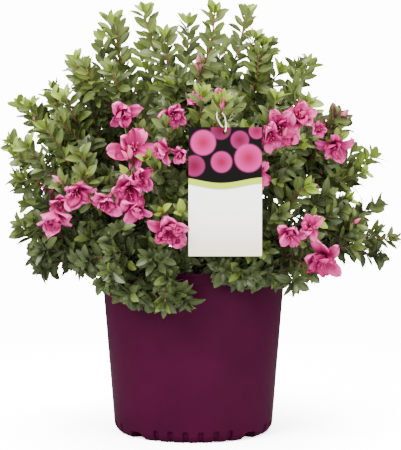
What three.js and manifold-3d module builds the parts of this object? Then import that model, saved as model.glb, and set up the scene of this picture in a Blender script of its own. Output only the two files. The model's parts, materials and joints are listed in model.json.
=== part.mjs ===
// An azalea shrub in its nursery pot, in millimetres, +Z up.
// The origin is the middle of the pot's flat underside, and the plant's front faces -Y.
//
// A short trunk stands on the potting mix and forks into boughs in three tiers.
// Each bough carries two masses of foliage: a leafy shoot with side twigs, grown by a seeded rule.
import * as THREE from "three";
import { mergeVertices } from "three/addons/utils/BufferGeometryUtils.js";
import Module from "manifold-3d";

const wasm = await Module();
wasm.setup();

// ---- driving sizes ----

const CLEARANCE = 0.3; // between pieces that meet
const FINEST = 0.1; // detail smaller than this is dropped where pieces are fused
const WELDS = [0.001, 0.005]; // corners this near each other are taken as one, in the test of a mass

const POT = {
  height: 257,
  baseRadius: 121.5,
  rimRadius: 144.5, // outside of the rim band
  bandHeight: 17, // the band below the rim
  bandStep: 1.6, // how far the band stands proud of the wall
  beadHeight: 5, // the rolled edge on top of the band
  beadStep: 1.4,
  wall: 2.6,
  floor: 6,
  footWidth: 26, // the thick ring under the wall that the feet are part of
  footHeight: 20,
  footTaper: 6, // how far the wall's foot draws in at the bottom
  footTaperHeight: 11,
  sides: 36,
};
const NOTCH = { count: 4, width: 25, height: 11, depth: 24 }; // between the pot's four feet
const FLUTE = { perFoot: 6, pitch: 10.9, width: 8, height: 18, depth: 4 }; // pitch in degrees
const SOIL = { top: 234, edgeDrop: 5, sides: 18 }; // half the pot's sides

const TRUNK = {
  top: 304,
  lean: 5, // sideways, at the top
  flareRadius: 17,
  waistRadius: 10,
  tipRadius: 6.5,
  flareShare: 0.16, // of its length
};
const BOUGH = { footRadius: 4.3, tipRadius: 2.7, leastArch: 8, sides: 5, steps: 4 };

// Azimuth in degrees from +X, reach from the pot's axis and height of every shoot's tip,
// two neighbours to a bough.
const TIERS = [
  {
    name: "low",
    trunkHeights: [247, 257],
    rise: 32, // degrees above level, where a bough leaves the trunk
    boughShare: 0.44, // of the way out to its shoots' tips
    arch: 38, // how far a bough's end is above the straight line to tips that hang over the rim
    archFade: 0.9, // what each millimetre of the tips above the rim takes off the arch
    endRise: 6, // degrees above level, where a bough ends
    tipRise: 2, // degrees above level, where a shoot of the tier's mean height ends
    tipDroop: 0.62, // degrees that each millimetre below the mean height takes off that
    meanHeight: 300,
    shoots: [
      [-18, 270, 335],
      [-7, 316, 298],
      [-43, 248, 258],
      [-67, 196, 250],
      [-103, 190, 205],
      [-129, 212, 236],
      [-165, 282, 326],
      [176, 258, 258],
      [147, 270, 300],
      [118, 252, 268],
      [84, 262, 300],
      [52, 268, 262],
    ],
  },
  {
    name: "middle",
    trunkHeights: [267, 277],
    rise: 50,
    boughShare: 0.42,
    arch: 22,
    archFade: 0,
    endRise: 42,
    tipRise: 46,
    tipDroop: 0.15,
    meanHeight: 460,
    shoots: [
      [4, 288, 430],
      [-10, 234, 491],
      [-26, 200, 518],
      [-49, 208, 470],
      [-78, 212, 522],
      [-117, 214, 440],
      [-145, 244, 395],
      [-169, 284, 440],
      [-176, 224, 524],
      [174, 277, 511],
      [146, 244, 470],
      [112, 224, 500],
      [76, 240, 455],
      [38, 246, 490],
    ],
  },
  {
    name: "top",
    trunkHeights: [290, 299],
    rise: 64,
    boughShare: 0.46,
    arch: 8,
    archFade: 0,
    endRise: 74,
    tipRise: 80,
    tipDroop: 0,
    meanHeight: 620,
    shoots: [
      [6, 179, 579],
      [-20, 116, 607],
      [36, 104, 658],
      [72, 140, 612],
      [98, 62, 641],
      [124, 152, 600],
      [160, 140, 644],
      [180, 179, 572],
      [-141, 96, 656],
      [-79, 166, 652],
    ],
  },
];
const STEM = { footRadius: 2.2, tipRadius: 1.1, steps: 4 };
const TWIG = { every: 66, length: 60, angle: 52, footRadius: 1.7, tipRadius: 0.9, steps: 1 };
const LEAF = { length: 53, width: 28, thickness: 1.5, spacing: 20.5, angle: 52, bareShare: 0.16 };
const TUFT = { leaves: 3, angle: 26, reach: 24 };
// Of a mass round its stem, between two masses, and between a leaf's points and the pot.
const SPACE = { reach: 86, margin: 1.6, potGap: 3 };
const GOLDEN_ANGLE = 137.5;

const BLOOM = {
  radius: 33,
  depth: 20,
  notchShare: 0.62, // of the radius, between two petals
  notchDrop: 3,
  dimple: 10,
  petals: 5,
  clear: 31, // leaves keep this far from its middle
};
// Azimuth, reach and height of the middle of each bloom.
const BLOOMS = [
  [-125, 184, 492],
  [-116, 200, 440],
  [-99, 160, 488],
  [-145, 250, 342],
  [-138, 236, 384],
  [-114, 226, 392],
  [-121, 240, 358],
  [-99, 222, 322],
  [-47, 208, 470],
  [-41, 214, 498],
  [-22, 238, 436],
  [-60, 208, 398],
  [-53, 246, 328],
  [-40, 252, 276],
  [20, 268, 380],
  [55, 250, 420],
  [88, 238, 370],
  [120, 246, 440],
  [148, 262, 360],
  [70, 215, 500],
];

const TAG = { width: 104, height: 183, thickness: 0.8, hole: 7, holeDrop: 7, lean: 6 };
const TAG_TOP = new THREE.Vector3(46, -199, 473);
const TIE = { radius: 0.9, width: 9, share: 0.9, sides: 6, steps: 26 }; // share of the stem it hangs from

// ---- small tools ----

const UP = new THREE.Vector3(0, 0, 1);
const degrees = THREE.MathUtils.degToRad;

// The same numbers in the same order for the same seed.
function seededRandom(seed) {
  let state = (seed * 7919 + 12345) >>> 0;
  return () => {
    state = (Math.imul(state, 1664525) + 1013904223) >>> 0;
    return state / 4294967296;
  };
}

function polar(azimuth, reach, height) {
  const angle = degrees(azimuth);
  return new THREE.Vector3(reach * Math.cos(angle), reach * Math.sin(angle), height);
}

// A unit vector at an azimuth, raised above level.
function heading(azimuth, rise) {
  return polar(azimuth, Math.cos(degrees(rise)), Math.sin(degrees(rise)));
}

// A smooth curve that leaves start along one direction and reaches end along another.
function sweep(start, startDirection, end, endDirection, slack = 0.36) {
  const handle = start.distanceTo(end) * slack;
  return new THREE.CubicBezierCurve3(
    start,
    start.clone().addScaledVector(startDirection, handle),
    end.clone().addScaledVector(endDirection, -handle),
    end,
  );
}

// The geometry with one corner at each place and no other attributes.
function weldedGeometry(geometry, tolerance) {
  const bare = new THREE.BufferGeometry();
  bare.setAttribute("position", geometry.getAttribute("position"));
  bare.setIndex(geometry.index);
  return mergeVertices(bare, tolerance);
}

function solidFrom(geometry) {
  const merged = weldedGeometry(geometry, 0.0001);
  return new wasm.Manifold(
    new wasm.Mesh({
      numProp: 3,
      vertProperties: merged.getAttribute("position").array,
      triVerts: new Uint32Array(merged.index.array),
    }),
  );
}

function geometryFrom(solid) {
  const mesh = solid.getMesh();
  const geometry = new THREE.BufferGeometry();
  geometry.setAttribute("position", new THREE.BufferAttribute(mesh.vertProperties, 3));
  geometry.setIndex(new THREE.BufferAttribute(mesh.triVerts, 1));
  const faceted = geometry.toNonIndexed();
  faceted.computeVertexNormals();
  return faceted;
}

// Whether every edge has exactly two faces once near corners are welded.
function isClosed(solid, weld) {
  const corners = weldedGeometry(geometryFrom(solid), weld).index.array;
  const faceCounts = new Map();
  for (let i = 0; i < corners.length; i += 3) {
    const face = corners.slice(i, i + 3);
    if (new Set(face).size < 3) continue;
    for (let k = 0; k < 3; k += 1) {
      const edge = [face[k], face[(k + 1) % 3]].sort().join(" ");
      faceCounts.set(edge, (faceCounts.get(edge) ?? 0) + 1);
    }
  }
  return [...faceCounts.values()].every((count) => count === 2);
}

// Joins solids and drops any scrap that came loose.
function joined(solids) {
  const bodies = wasm.Manifold.union(solids).asOriginal().simplify(FINEST).decompose();
  return bodies.reduce((most, body) => (body.volume() > most.volume() ? body : most));
}

// A round tapering limb: a cylinder of unit radius, bent along the curve.
function limbSolid(curve, radiusAt, sides, steps) {
  const tube = new THREE.CylinderGeometry(1, 1, 1, sides, steps);
  const frames = curve.computeFrenetFrames(steps, false);
  const corners = tube.getAttribute("position");
  for (let i = 0; i < corners.count; i += 1) {
    const share = corners.getY(i) + 0.5;
    const step = Math.round(share * steps);
    const radius = radiusAt(share);
    const place = curve
      .getPointAt(share)
      .addScaledVector(frames.normals[step], corners.getX(i) * radius)
      .addScaledVector(frames.binormals[step], -corners.getZ(i) * radius);
    corners.setXYZ(i, place.x, place.y, place.z);
  }
  return solidFrom(tube);
}

function taper(foot, tip) {
  return (share) => foot + (tip - foot) * share;
}

function distanceToPath(point, path) {
  const along = new THREE.Line3();
  const nearest = new THREE.Vector3();
  let least = Infinity;
  for (let i = 1; i < path.length; i += 1) {
    along.set(path[i - 1], path[i]).closestPointToPoint(point, true, nearest);
    least = Math.min(least, nearest.distanceTo(point));
  }
  return least;
}

// ---- the pot and its potting mix ----

const potWallRadius = (z) =>
  POT.baseRadius + ((POT.rimRadius - POT.beadStep - POT.bandStep - POT.baseRadius) * z) / POT.height;

function potSolid() {
  const bandFoot = POT.height - POT.bandHeight;
  const beadFoot = POT.height - POT.beadHeight;
  const footInside = POT.baseRadius - POT.footWidth;
  const profile = [
    [0, 0],
    [POT.baseRadius - POT.footTaper, 0],
    [POT.baseRadius - POT.footTaper * 0.25, POT.footTaperHeight * 0.45],
    [potWallRadius(POT.footTaperHeight), POT.footTaperHeight],
    [potWallRadius(bandFoot), bandFoot],
    [potWallRadius(bandFoot) + POT.bandStep, bandFoot + 1],
    [potWallRadius(beadFoot) + POT.bandStep, beadFoot],
    [POT.rimRadius, beadFoot + 1.4],
    [POT.rimRadius, POT.height - 1],
    [POT.rimRadius - 1.5, POT.height],
    [potWallRadius(POT.height) - POT.wall, POT.height],
    [potWallRadius(POT.footHeight) - POT.wall, POT.footHeight],
    [footInside, POT.footHeight],
    [footInside - 4, POT.floor],
    [0, POT.floor],
  ].map(([radius, z]) => new THREE.Vector2(radius, z));
  const lathe = new THREE.LatheGeometry(profile, POT.sides);
  lathe.rotateX(Math.PI / 2);
  let pot = solidFrom(lathe);
  if (pot.volume() < 0) throw new Error("the pot's profile runs the wrong way round");
  for (let i = 0; i < NOTCH.count; i += 1) {
    const middle = 45 + (i * 360) / NOTCH.count;
    pot = pot.subtract(footCut(middle, NOTCH));
    for (let k = 0; k < FLUTE.perFoot; k += 1) {
      const turn = (k - (FLUTE.perFoot - 1) / 2) * FLUTE.pitch;
      pot = pot.subtract(footCut(middle + 45 + turn, FLUTE));
    }
  }
  return pot;
}

// A round-headed cut into the foot of the pot's wall, from outside.
function footCut(azimuth, { width, height, depth }) {
  const arch = new THREE.Shape();
  const below = 2;
  const shoulder = height - Math.min(width / 2, height * 0.45);
  arch.moveTo(-width / 2, -below);
  arch.lineTo(width / 2, -below);
  arch.lineTo(width / 2, shoulder);
  arch.quadraticCurveTo(width / 2, height, 0, height);
  arch.quadraticCurveTo(-width / 2, height, -width / 2, shoulder);
  const outside = 20;
  const cut = new THREE.ExtrudeGeometry(arch, {
    depth: depth + outside,
    bevelEnabled: false,
    curveSegments: 1,
  });
  cut.rotateX(Math.PI / 2);
  cut.translate(0, potWallRadius(0) + outside, 0);
  cut.rotateZ(degrees(azimuth) - Math.PI / 2);
  return solidFrom(cut);
}

function soilSolid() {
  const bottom = POT.floor + CLEARANCE;
  const inside = (z) => potWallRadius(z) - POT.wall - CLEARANCE;
  const footInside = POT.baseRadius - POT.footWidth - CLEARANCE;
  const profile = [
    [0, bottom],
    [footInside - 4.5, bottom],
    [footInside - 0.5, POT.footHeight + CLEARANCE],
    [inside(POT.footHeight), POT.footHeight + CLEARANCE],
    [inside(SOIL.top - SOIL.edgeDrop), SOIL.top - SOIL.edgeDrop],
    [inside(SOIL.top) * 0.72, SOIL.top],
    [0, SOIL.top],
  ].map(([radius, z]) => new THREE.Vector2(radius, z));
  const lathe = new THREE.LatheGeometry(profile, SOIL.sides);
  lathe.rotateX(Math.PI / 2);
  return solidFrom(lathe);
}

// ---- trunk and boughs ----

const trunkCurve = sweep(
  new THREE.Vector3(0, 0, SOIL.top + CLEARANCE),
  UP,
  new THREE.Vector3(TRUNK.lean, -TRUNK.lean / 2, TRUNK.top),
  UP,
);

function trunkRadius(share) {
  const flare = Math.max(0, 1 - share / TRUNK.flareShare) ** 2;
  return (
    TRUNK.waistRadius +
    (TRUNK.tipRadius - TRUNK.waistRadius) * share +
    (TRUNK.flareRadius - TRUNK.waistRadius) * flare
  );
}

function trunkSolid(allowance = 0) {
  return limbSolid(trunkCurve, (share) => trunkRadius(share) + allowance, 10, 8);
}

function trunkPoint(height) {
  const share = (height - SOIL.top) / (TRUNK.top - SOIL.top);
  return trunkCurve.getPointAt(THREE.MathUtils.clamp(share, 0, 1));
}

// Where the stem of a shoot ends, and its direction there: its last leaves reach on to the shoot's tip.
function shootTip(tier, [azimuth, reach, height]) {
  const direction = heading(azimuth, tier.tipRise + (height - tier.meanHeight) * tier.tipDroop);
  const point = polar(azimuth, reach, height).addScaledVector(direction, -TUFT.reach);
  return { point, direction };
}

// The boughs of a tier, each with its curve and the tips of its two shoots.
function tierBoughs(tier) {
  const boughs = [];
  for (let i = 0; i < tier.shoots.length; i += 2) {
    const tips = tier.shoots.slice(i, i + 2).map((shoot) => shootTip(tier, shoot));
    const between = tips[0].point.clone().lerp(tips[1].point, 0.5);
    const azimuth = THREE.MathUtils.radToDeg(Math.atan2(between.y, between.x));
    const height = tier.trunkHeights[(i / 2) % tier.trunkHeights.length];
    const foot = trunkPoint(height);
    const end = foot.clone().lerp(between, tier.boughShare);
    end.z += Math.max(BOUGH.leastArch, tier.arch - Math.max(0, between.z - POT.height) * tier.archFade);
    const endDirection = heading(azimuth, tier.endRise);
    boughs.push({
      name: `bough_${tier.name}_${i / 2 + 1}`,
      curve: sweep(foot, heading(azimuth, tier.rise), end, endDirection),
      end,
      endDirection,
      tips,
    });
  }
  return boughs;
}

// Every bough is cut clear of the trunk and of the boughs made before it.
function boughSolids(boughs) {
  const made = [trunkSolid(CLEARANCE)];
  return boughs.map(({ curve }) => {
    const { footRadius, tipRadius, sides, steps } = BOUGH;
    const limb = (allowance) =>
      limbSolid(curve, taper(footRadius + allowance, tipRadius + allowance), sides, steps);
    const bough = joined([made.reduce((left, other) => left.subtract(other), limb(0))]);
    made.push(limb(CLEARANCE));
    return bough;
  });
}

// ---- the space of each mass ----

// The stem of each mass runs from its bough's tip to the tip of its shoot.
function massStems(tier, boughs) {
  const stems = [];
  boughs.forEach((bough) => {
    const apart = bough.tips[0].point.clone().sub(bough.tips[1].point);
    apart.projectOnPlane(bough.endDirection).normalize();
    bough.tips.forEach((tip, i) => {
      const foot = bough.end
        .clone()
        .addScaledVector(bough.endDirection, CLEARANCE)
        .addScaledVector(apart, i === 0 ? STEM.footRadius + 0.2 : -STEM.footRadius - 0.2);
      const curve = sweep(foot, bough.endDirection, tip.point, tip.direction);
      stems.push({
        name: `foliage_${tier.name}_${stems.length + 1}`,
        tier,
        curve,
        path: curve.getSpacedPoints(7),
        length: curve.getLength(),
      });
    });
  });
  return stems;
}

// The tag hangs from its tie and leans out a little at the foot.
const tagLean = degrees(TAG.lean);
const tagDown = new THREE.Vector3(0, -Math.sin(tagLean), -Math.cos(tagLean));
const tagOut = new THREE.Vector3(0, -Math.cos(tagLean), Math.sin(tagLean));

function insideTag(point) {
  const from = point.clone().sub(TAG_TOP);
  const below = from.dot(tagDown);
  const front = from.dot(tagOut);
  return Math.abs(from.x) < TAG.width / 2 + 3 && below > -3 && below < TAG.height + 3 && front > -3;
}

function insidePot(point) {
  const reach = Math.hypot(point.x, point.y);
  const gap = SPACE.potGap;
  if (point.z > POT.height + gap) return false;
  if (point.z > SOIL.top + gap && reach < potWallRadius(point.z) - POT.wall - gap) return false;
  const widest = point.z > POT.height - POT.bandHeight - gap ? POT.rimRadius : potWallRadius(point.z);
  return reach < widest + gap;
}

// Whether a point is free for a mass: nearer its own stem than any other, and clear of everything else.
function isFree(point, stem, scene) {
  const own = distanceToPath(point, stem.path);
  if (own > SPACE.reach) return false;
  if (insidePot(point) || insideTag(point)) return false;
  if (distanceToPath(point, scene.tiePath) < TIE.radius + 2) return false;
  if (scene.limbPaths.some((limb) => distanceToPath(point, limb.path) < limb.radius + 1)) return false;
  if (scene.blooms.some((bloom) => bloom.middle.distanceTo(point) < BLOOM.clear)) return false;
  return scene.stems.every(
    (other) => other === stem || distanceToPath(point, other.path) > own + SPACE.margin,
  );
}

// ---- leaves, blooms and masses ----

// A leaf lies along +X with its root at the origin: a rhombus with a raised midrib, six faces.
function leafGeometry(size) {
  const length = LEAF.length * size;
  const width = LEAF.width * size;
  const corners = [
    [0, 0, 0],
    [length * 0.56, width / 2, 0],
    [length, 0, -LEAF.thickness],
    [length * 0.56, -width / 2, 0],
    [length * 0.5, 0, LEAF.thickness],
  ];
  const faces = [0, 1, 3, 1, 2, 3, 4, 1, 0, 4, 2, 1, 4, 3, 2, 4, 0, 3];
  const geometry = new THREE.BufferGeometry();
  geometry.setAttribute("position", new THREE.Float32BufferAttribute(corners.flat(), 3));
  geometry.setIndex(faces);
  return geometry;
}

// The points of a leaf that have to be free: its outline and its midrib.
const LEAF_PROBES = [
  [0.3, 0.27],
  [0.3, -0.27],
  [0.56, 0.5],
  [0.56, -0.5],
  [0.5, 0],
  [0.8, 0.23],
  [0.8, -0.23],
  [1, 0],
];

// A frame whose x axis is the leaf and whose z axis its upper face.
function leafMatrix(root, along, upper) {
  const side = upper.clone().cross(along).normalize();
  const face = along.clone().cross(side).normalize();
  return new THREE.Matrix4().makeBasis(along, side, face).setPosition(root);
}

// Puts leaves round a twig in a spiral, from its bare foot to its tip, and a tuft at the end.
function leafTwig(curve, twigRadius, random, stem, scene) {
  const leaves = [];
  const length = curve.getLength();
  const steps = Math.max(2, Math.round((length * (1 - LEAF.bareShare)) / LEAF.spacing));
  const frames = curve.computeFrenetFrames(steps, false);
  const turn = random() * 360;
  const place = (share, step, spiral, angle, size) => {
    const tangent = frames.tangents[step];
    const radial = frames.normals[step]
      .clone()
      .multiplyScalar(Math.cos(degrees(spiral)))
      .addScaledVector(frames.binormals[step], Math.sin(degrees(spiral)));
    const along = tangent
      .clone()
      .multiplyScalar(Math.cos(degrees(angle)))
      .addScaledVector(radial, Math.sin(degrees(angle)));
    const upper = tangent
      .clone()
      .multiplyScalar(Math.sin(degrees(angle)))
      .addScaledVector(radial, -Math.cos(degrees(angle)))
      .addScaledVector(UP, 0.5);
    const sunk = twigRadius(share) * 0.35;
    const root = curve.getPointAt(share).addScaledVector(radial, -sunk);
    const matrix = leafMatrix(root, along, upper);
    const free = LEAF_PROBES.every(([x, y]) =>
      isFree(
        new THREE.Vector3(x * LEAF.length * size, y * LEAF.width * size, 0).applyMatrix4(matrix),
        stem,
        scene,
      ),
    );
    if (!free) return;
    const leaf = solidFrom(leafGeometry(size).applyMatrix4(matrix));
    if (leaf.intersect(scene.tie).isEmpty()) leaves.push(leaf);
  };
  for (let i = 0; i < steps; i += 1) {
    const share = LEAF.bareShare + ((1 - LEAF.bareShare) * i) / steps;
    const angle = LEAF.angle + (random() - 0.5) * 24;
    place(share, i, turn + i * GOLDEN_ANGLE, angle, 0.85 + random() * 0.3);
  }
  for (let i = 0; i < TUFT.leaves; i += 1) {
    place(0.985, steps, turn + (i * 360) / TUFT.leaves, TUFT.angle + random() * 14, 0.62 + random() * 0.2);
  }
  return leaves;
}

// A bloom faces +Z with its back at the origin: a shallow funnel with pointed petals.
function bloomGeometry() {
  const count = BLOOM.petals * 2;
  const corners = [
    [0, 0, 0],
    [0, 0, BLOOM.depth - BLOOM.dimple],
  ];
  const faces = [];
  for (let i = 0; i < count; i += 1) {
    const radius = i % 2 === 0 ? BLOOM.radius : BLOOM.radius * BLOOM.notchShare;
    const angle = (i * 2 * Math.PI) / count;
    const height = BLOOM.depth - (i % 2) * BLOOM.notchDrop;
    corners.push([radius * Math.cos(angle), radius * Math.sin(angle), height]);
    const here = i + 2;
    const next = ((i + 1) % count) + 2;
    faces.push(0, next, here, 1, here, next);
  }
  const geometry = new THREE.BufferGeometry();
  geometry.setAttribute("position", new THREE.Float32BufferAttribute(corners.flat(), 3));
  geometry.setIndex(faces);
  return geometry;
}

// A bloom stands on a stalk from the nearest stem, and faces outward and a little up.
function placeBlooms(stems) {
  return BLOOMS.map(([azimuth, reach, height]) => {
    const middle = polar(azimuth, reach, height);
    const facing = heading(azimuth, 18);
    const stem = stems.reduce((best, other) =>
      distanceToPath(middle, other.path) < distanceToPath(middle, best.path) ? other : best,
    );
    return { middle, facing, stem, back: middle.clone().addScaledVector(facing, -BLOOM.depth) };
  });
}

function bloomSolids(bloom) {
  const turn = new THREE.Quaternion().setFromUnitVectors(UP, bloom.facing);
  const flower = bloomGeometry().applyQuaternion(turn).translate(...bloom.back);
  const shares = Array.from({ length: 21 }, (_, i) => 0.04 + i * 0.04);
  const reachOf = (share) => bloom.stem.curve.getPointAt(share).distanceTo(bloom.back);
  const share = shares.reduce((best, other) => (reachOf(other) < reachOf(best) ? other : best));
  const foot = bloom.stem.curve.getPointAt(share);
  const top = bloom.back.clone().addScaledVector(bloom.facing, 4);
  const away = top.clone().sub(foot).normalize();
  const stalk = limbSolid(sweep(foot, away, top, away), taper(TWIG.footRadius, TWIG.tipRadius), 3, 1);
  return [solidFrom(flower), stalk];
}

function massSolid(stem, index, scene) {
  const random = seededRandom(index + 1);
  const stemRadius = taper(STEM.footRadius, STEM.tipRadius);
  const wood = [limbSolid(stem.curve, stemRadius, 3, STEM.steps)];
  const leaves = leafTwig(stem.curve, stemRadius, random, stem, scene);
  const twigs = Math.floor(stem.length / TWIG.every);
  for (let i = 0; i < twigs; i += 1) {
    const share = 0.14 + (0.66 * (i + random() * 0.5)) / twigs;
    const tangent = stem.curve.getTangentAt(share);
    const level = new THREE.Vector3().crossVectors(tangent, UP).normalize();
    const side = level.applyAxisAngle(tangent, degrees(i * GOLDEN_ANGLE + random() * 50));
    const angle = degrees(TWIG.angle);
    const away = tangent.clone().multiplyScalar(Math.cos(angle)).addScaledVector(side, Math.sin(angle));
    const length = TWIG.length * (1.1 - 0.5 * share);
    const foot = stem.curve.getPointAt(share);
    const end = foot.clone().addScaledVector(away, length).addScaledVector(UP, length * 0.2);
    const curve = sweep(foot, away, end, away.clone().addScaledVector(UP, 0.6).normalize());
    const free = [0.35, 0.6, 0.85, 1].every((part) => isFree(curve.getPointAt(part), stem, scene));
    if (!free) continue;
    const radius = taper(TWIG.footRadius, TWIG.tipRadius);
    wood.push(limbSolid(curve, radius, 3, TWIG.steps));
    leaves.push(...leafTwig(curve, radius, random, stem, scene));
  }
  const blooms = scene.blooms.filter((bloom) => bloom.stem === stem).flatMap(bloomSolids);
  return fusedMass([...wood, ...blooms], leaves);
}

// Leaves that only just touch each other leave an edge with four faces: then one of them is dropped.
function fusedMass(limbs, leaves) {
  for (let dropped = leaves.length; dropped >= 0; dropped -= 1) {
    const mass = joined([...limbs, ...leaves.filter((_, i) => i !== dropped)]);
    if (WELDS.every((weld) => isClosed(mass, weld))) return mass;
  }
  throw new Error("no single leaf can be dropped to close this mass");
}

// ---- the tag on its tie ----

function tagSolid() {
  const card = new THREE.BoxGeometry(TAG.width, TAG.height, TAG.thickness);
  card.translate(0, -TAG.height / 2, 0);
  const hole = new THREE.CylinderGeometry(TAG.hole / 2, TAG.hole / 2, TAG.thickness * 4, 10);
  hole.rotateX(Math.PI / 2).translate(0, -TAG.holeDrop, 0);
  const across = new THREE.Vector3(1, 0, 0);
  const frame = new THREE.Matrix4().makeBasis(across, tagDown.clone().negate(), tagOut);
  frame.setPosition(TAG_TOP);
  return solidFrom(card.applyMatrix4(frame)).subtract(solidFrom(hole.applyMatrix4(frame)));
}

// The tie is one loop: over the stem, down on either side of it, and through the tag's hole.
function tieCurve(stem) {
  const around = stem.curve.getPointAt(TIE.share);
  const overStem = UP.clone().projectOnPlane(stem.curve.getTangentAt(TIE.share)).normalize();
  const hole = TAG_TOP.clone().addScaledVector(tagDown, TAG.holeDrop - 1);
  const middle = around.clone().lerp(hole, 0.5);
  const gap = TIE.width / 2;
  const beside = (point, across, out, up) =>
    point.clone().add(new THREE.Vector3(across, 0, up)).addScaledVector(tagOut, out);
  const points = [
    beside(around, -gap, 0, -1),
    around.clone().addScaledVector(overStem, gap * 0.8),
    beside(around, gap, 0, -1),
    beside(middle, gap, gap * 0.6, 0),
    beside(hole, 1, gap, 3),
    beside(hole, 0, 0, 0),
    beside(hole, -1, -gap, 3),
    beside(middle, -gap, -gap * 0.6, 0),
  ];
  return new THREE.CatmullRomCurve3(points, true, "centripetal");
}

function tieSolid(curve, allowance = 0) {
  return solidFrom(new THREE.TubeGeometry(curve, TIE.steps, TIE.radius + allowance, TIE.sides, true));
}

// ---- assembly ----

const COLOURS = {
  pot: 0x571a3c,
  soil: 0x2e2119,
  bark: 0x6b4a35,
  leaves: 0x4c6b25,
  tag: 0xece6d2,
  tie: 0xe9ecdf,
};

function finish(colour, roughness) {
  return new THREE.MeshStandardMaterial({ color: colour, roughness, metalness: 0 });
}

const azalea = new THREE.Group();

function add(name, solid, material) {
  const mesh = new THREE.Mesh(geometryFrom(solid), material);
  mesh.name = name;
  azalea.add(mesh);
}

const boughs = TIERS.map(tierBoughs);
const stems = TIERS.flatMap((tier, i) => massStems(tier, boughs[i]));
const tied = stems.reduce((best, stem) =>
  stem.curve.getPointAt(1).distanceTo(TAG_TOP) < best.curve.getPointAt(1).distanceTo(TAG_TOP) ? stem : best,
);
const tie = tieCurve(tied);

const scene = {
  stems,
  blooms: placeBlooms(stems),
  tiePath: tie.getSpacedPoints(24),
  tie: tieSolid(tie, CLEARANCE),
  limbPaths: [
    { path: trunkCurve.getSpacedPoints(4), radius: TRUNK.waistRadius },
    ...boughs.flat().map(({ curve }) => ({ path: curve.getSpacedPoints(6), radius: BOUGH.footRadius })),
  ],
};

const bark = finish(COLOURS.bark, 0.85);
const leaves = finish(COLOURS.leaves, 0.5);
add("pot", potSolid(), finish(COLOURS.pot, 0.45));
add("potting_mix", soilSolid(), finish(COLOURS.soil, 0.95));
add("trunk", trunkSolid(), bark);
boughSolids(boughs.flat()).forEach((solid, i) => add(boughs.flat()[i].name, solid, bark));
stems.forEach((stem, i) => add(stem.name, massSolid(stem, i, scene), leaves));
add("tag", tagSolid(), finish(COLOURS.tag, 0.4));
add("tie", tieSolid(tie), finish(COLOURS.tie, 0.5));

export default azalea;
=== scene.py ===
"""An azalea shrub in its nursery pot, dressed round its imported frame."""

import json
import math
from typing import NamedTuple

import bmesh
import bpy
import numpy as np
from bpy.props import FloatProperty, FloatVectorProperty, IntProperty, PointerProperty
from mathutils import Matrix, Vector

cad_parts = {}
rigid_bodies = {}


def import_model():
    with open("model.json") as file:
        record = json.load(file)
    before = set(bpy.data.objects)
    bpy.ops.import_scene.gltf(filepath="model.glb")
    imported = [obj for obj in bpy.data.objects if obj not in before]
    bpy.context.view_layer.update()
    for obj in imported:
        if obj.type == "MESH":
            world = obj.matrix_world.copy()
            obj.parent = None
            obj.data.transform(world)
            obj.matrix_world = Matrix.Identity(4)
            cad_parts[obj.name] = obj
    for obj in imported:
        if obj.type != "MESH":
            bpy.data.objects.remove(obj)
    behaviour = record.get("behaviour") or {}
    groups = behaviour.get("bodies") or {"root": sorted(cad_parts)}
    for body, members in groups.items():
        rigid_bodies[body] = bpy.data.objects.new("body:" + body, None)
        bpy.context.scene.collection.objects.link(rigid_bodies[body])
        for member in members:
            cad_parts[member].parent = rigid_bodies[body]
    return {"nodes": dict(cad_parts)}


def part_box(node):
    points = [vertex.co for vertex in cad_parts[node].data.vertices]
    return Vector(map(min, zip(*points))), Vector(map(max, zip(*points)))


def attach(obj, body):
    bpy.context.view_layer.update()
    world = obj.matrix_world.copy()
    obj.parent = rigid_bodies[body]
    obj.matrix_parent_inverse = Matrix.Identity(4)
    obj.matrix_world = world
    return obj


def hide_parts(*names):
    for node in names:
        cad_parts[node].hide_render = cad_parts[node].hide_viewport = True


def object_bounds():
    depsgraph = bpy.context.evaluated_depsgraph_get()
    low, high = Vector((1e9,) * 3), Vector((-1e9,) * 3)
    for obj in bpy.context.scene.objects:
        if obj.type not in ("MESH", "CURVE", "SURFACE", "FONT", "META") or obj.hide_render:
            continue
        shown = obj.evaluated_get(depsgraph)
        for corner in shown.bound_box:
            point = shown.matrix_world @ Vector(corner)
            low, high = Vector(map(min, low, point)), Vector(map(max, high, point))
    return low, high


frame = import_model()
CAD_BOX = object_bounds()

bl_info = {
    "name": "Potted Azalea",
    "version": (1, 0, 0),
    "blender": (4, 5, 0),
    "location": "3D View > Sidebar > Azalea",
    "description": "Builds a flowering azalea shrub in its nursery pot",
    "category": "Object",
}

BODY = "root"
MM = 0.001
UP = np.array([0.0, 0.0, 1.0])
GOLDEN_ANGLE = 137.5

POT_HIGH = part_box("pot")[1]
POT_BASE_RADIUS = 0.1215
TAG_LOW, TAG_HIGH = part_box("tag")
FOLIAGE_NODES = sorted(name for name in frame["nodes"] if name.startswith("foliage_"))
BOUGH_NODES = sorted(name for name in frame["nodes"] if name.startswith("bough_"))


# ---- the plant's skeleton, by the part's own rule ----


class Tier(NamedTuple):
    """One storey of boughs. Heights and reaches are in millimetres, angles in degrees."""

    trunk_heights: tuple  # where its boughs leave the trunk, in turn
    rise: float  # above level, where a bough leaves the trunk
    bough_share: float  # of the way out to its shoots' tips
    arch: float  # a bough's end above the straight line to its tips, where these hang over the rim
    arch_fade: float  # what each millimetre of the tips above the rim takes off that
    end_rise: float  # above level, where a bough ends
    tip_rise: float  # above level, where a shoot of the mean height ends
    tip_droop: float  # what each millimetre below the mean height takes off that
    mean_height: float
    twigs_from: float  # share of a shoot where its side twigs start
    twigs_to: float
    wands: int  # forked from every shoot
    wands_to: float  # share of a shoot where they stop
    wand_length: float  # at most
    shoots: tuple  # azimuth, reach and height of every shoot's tip, two to a bough


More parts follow.
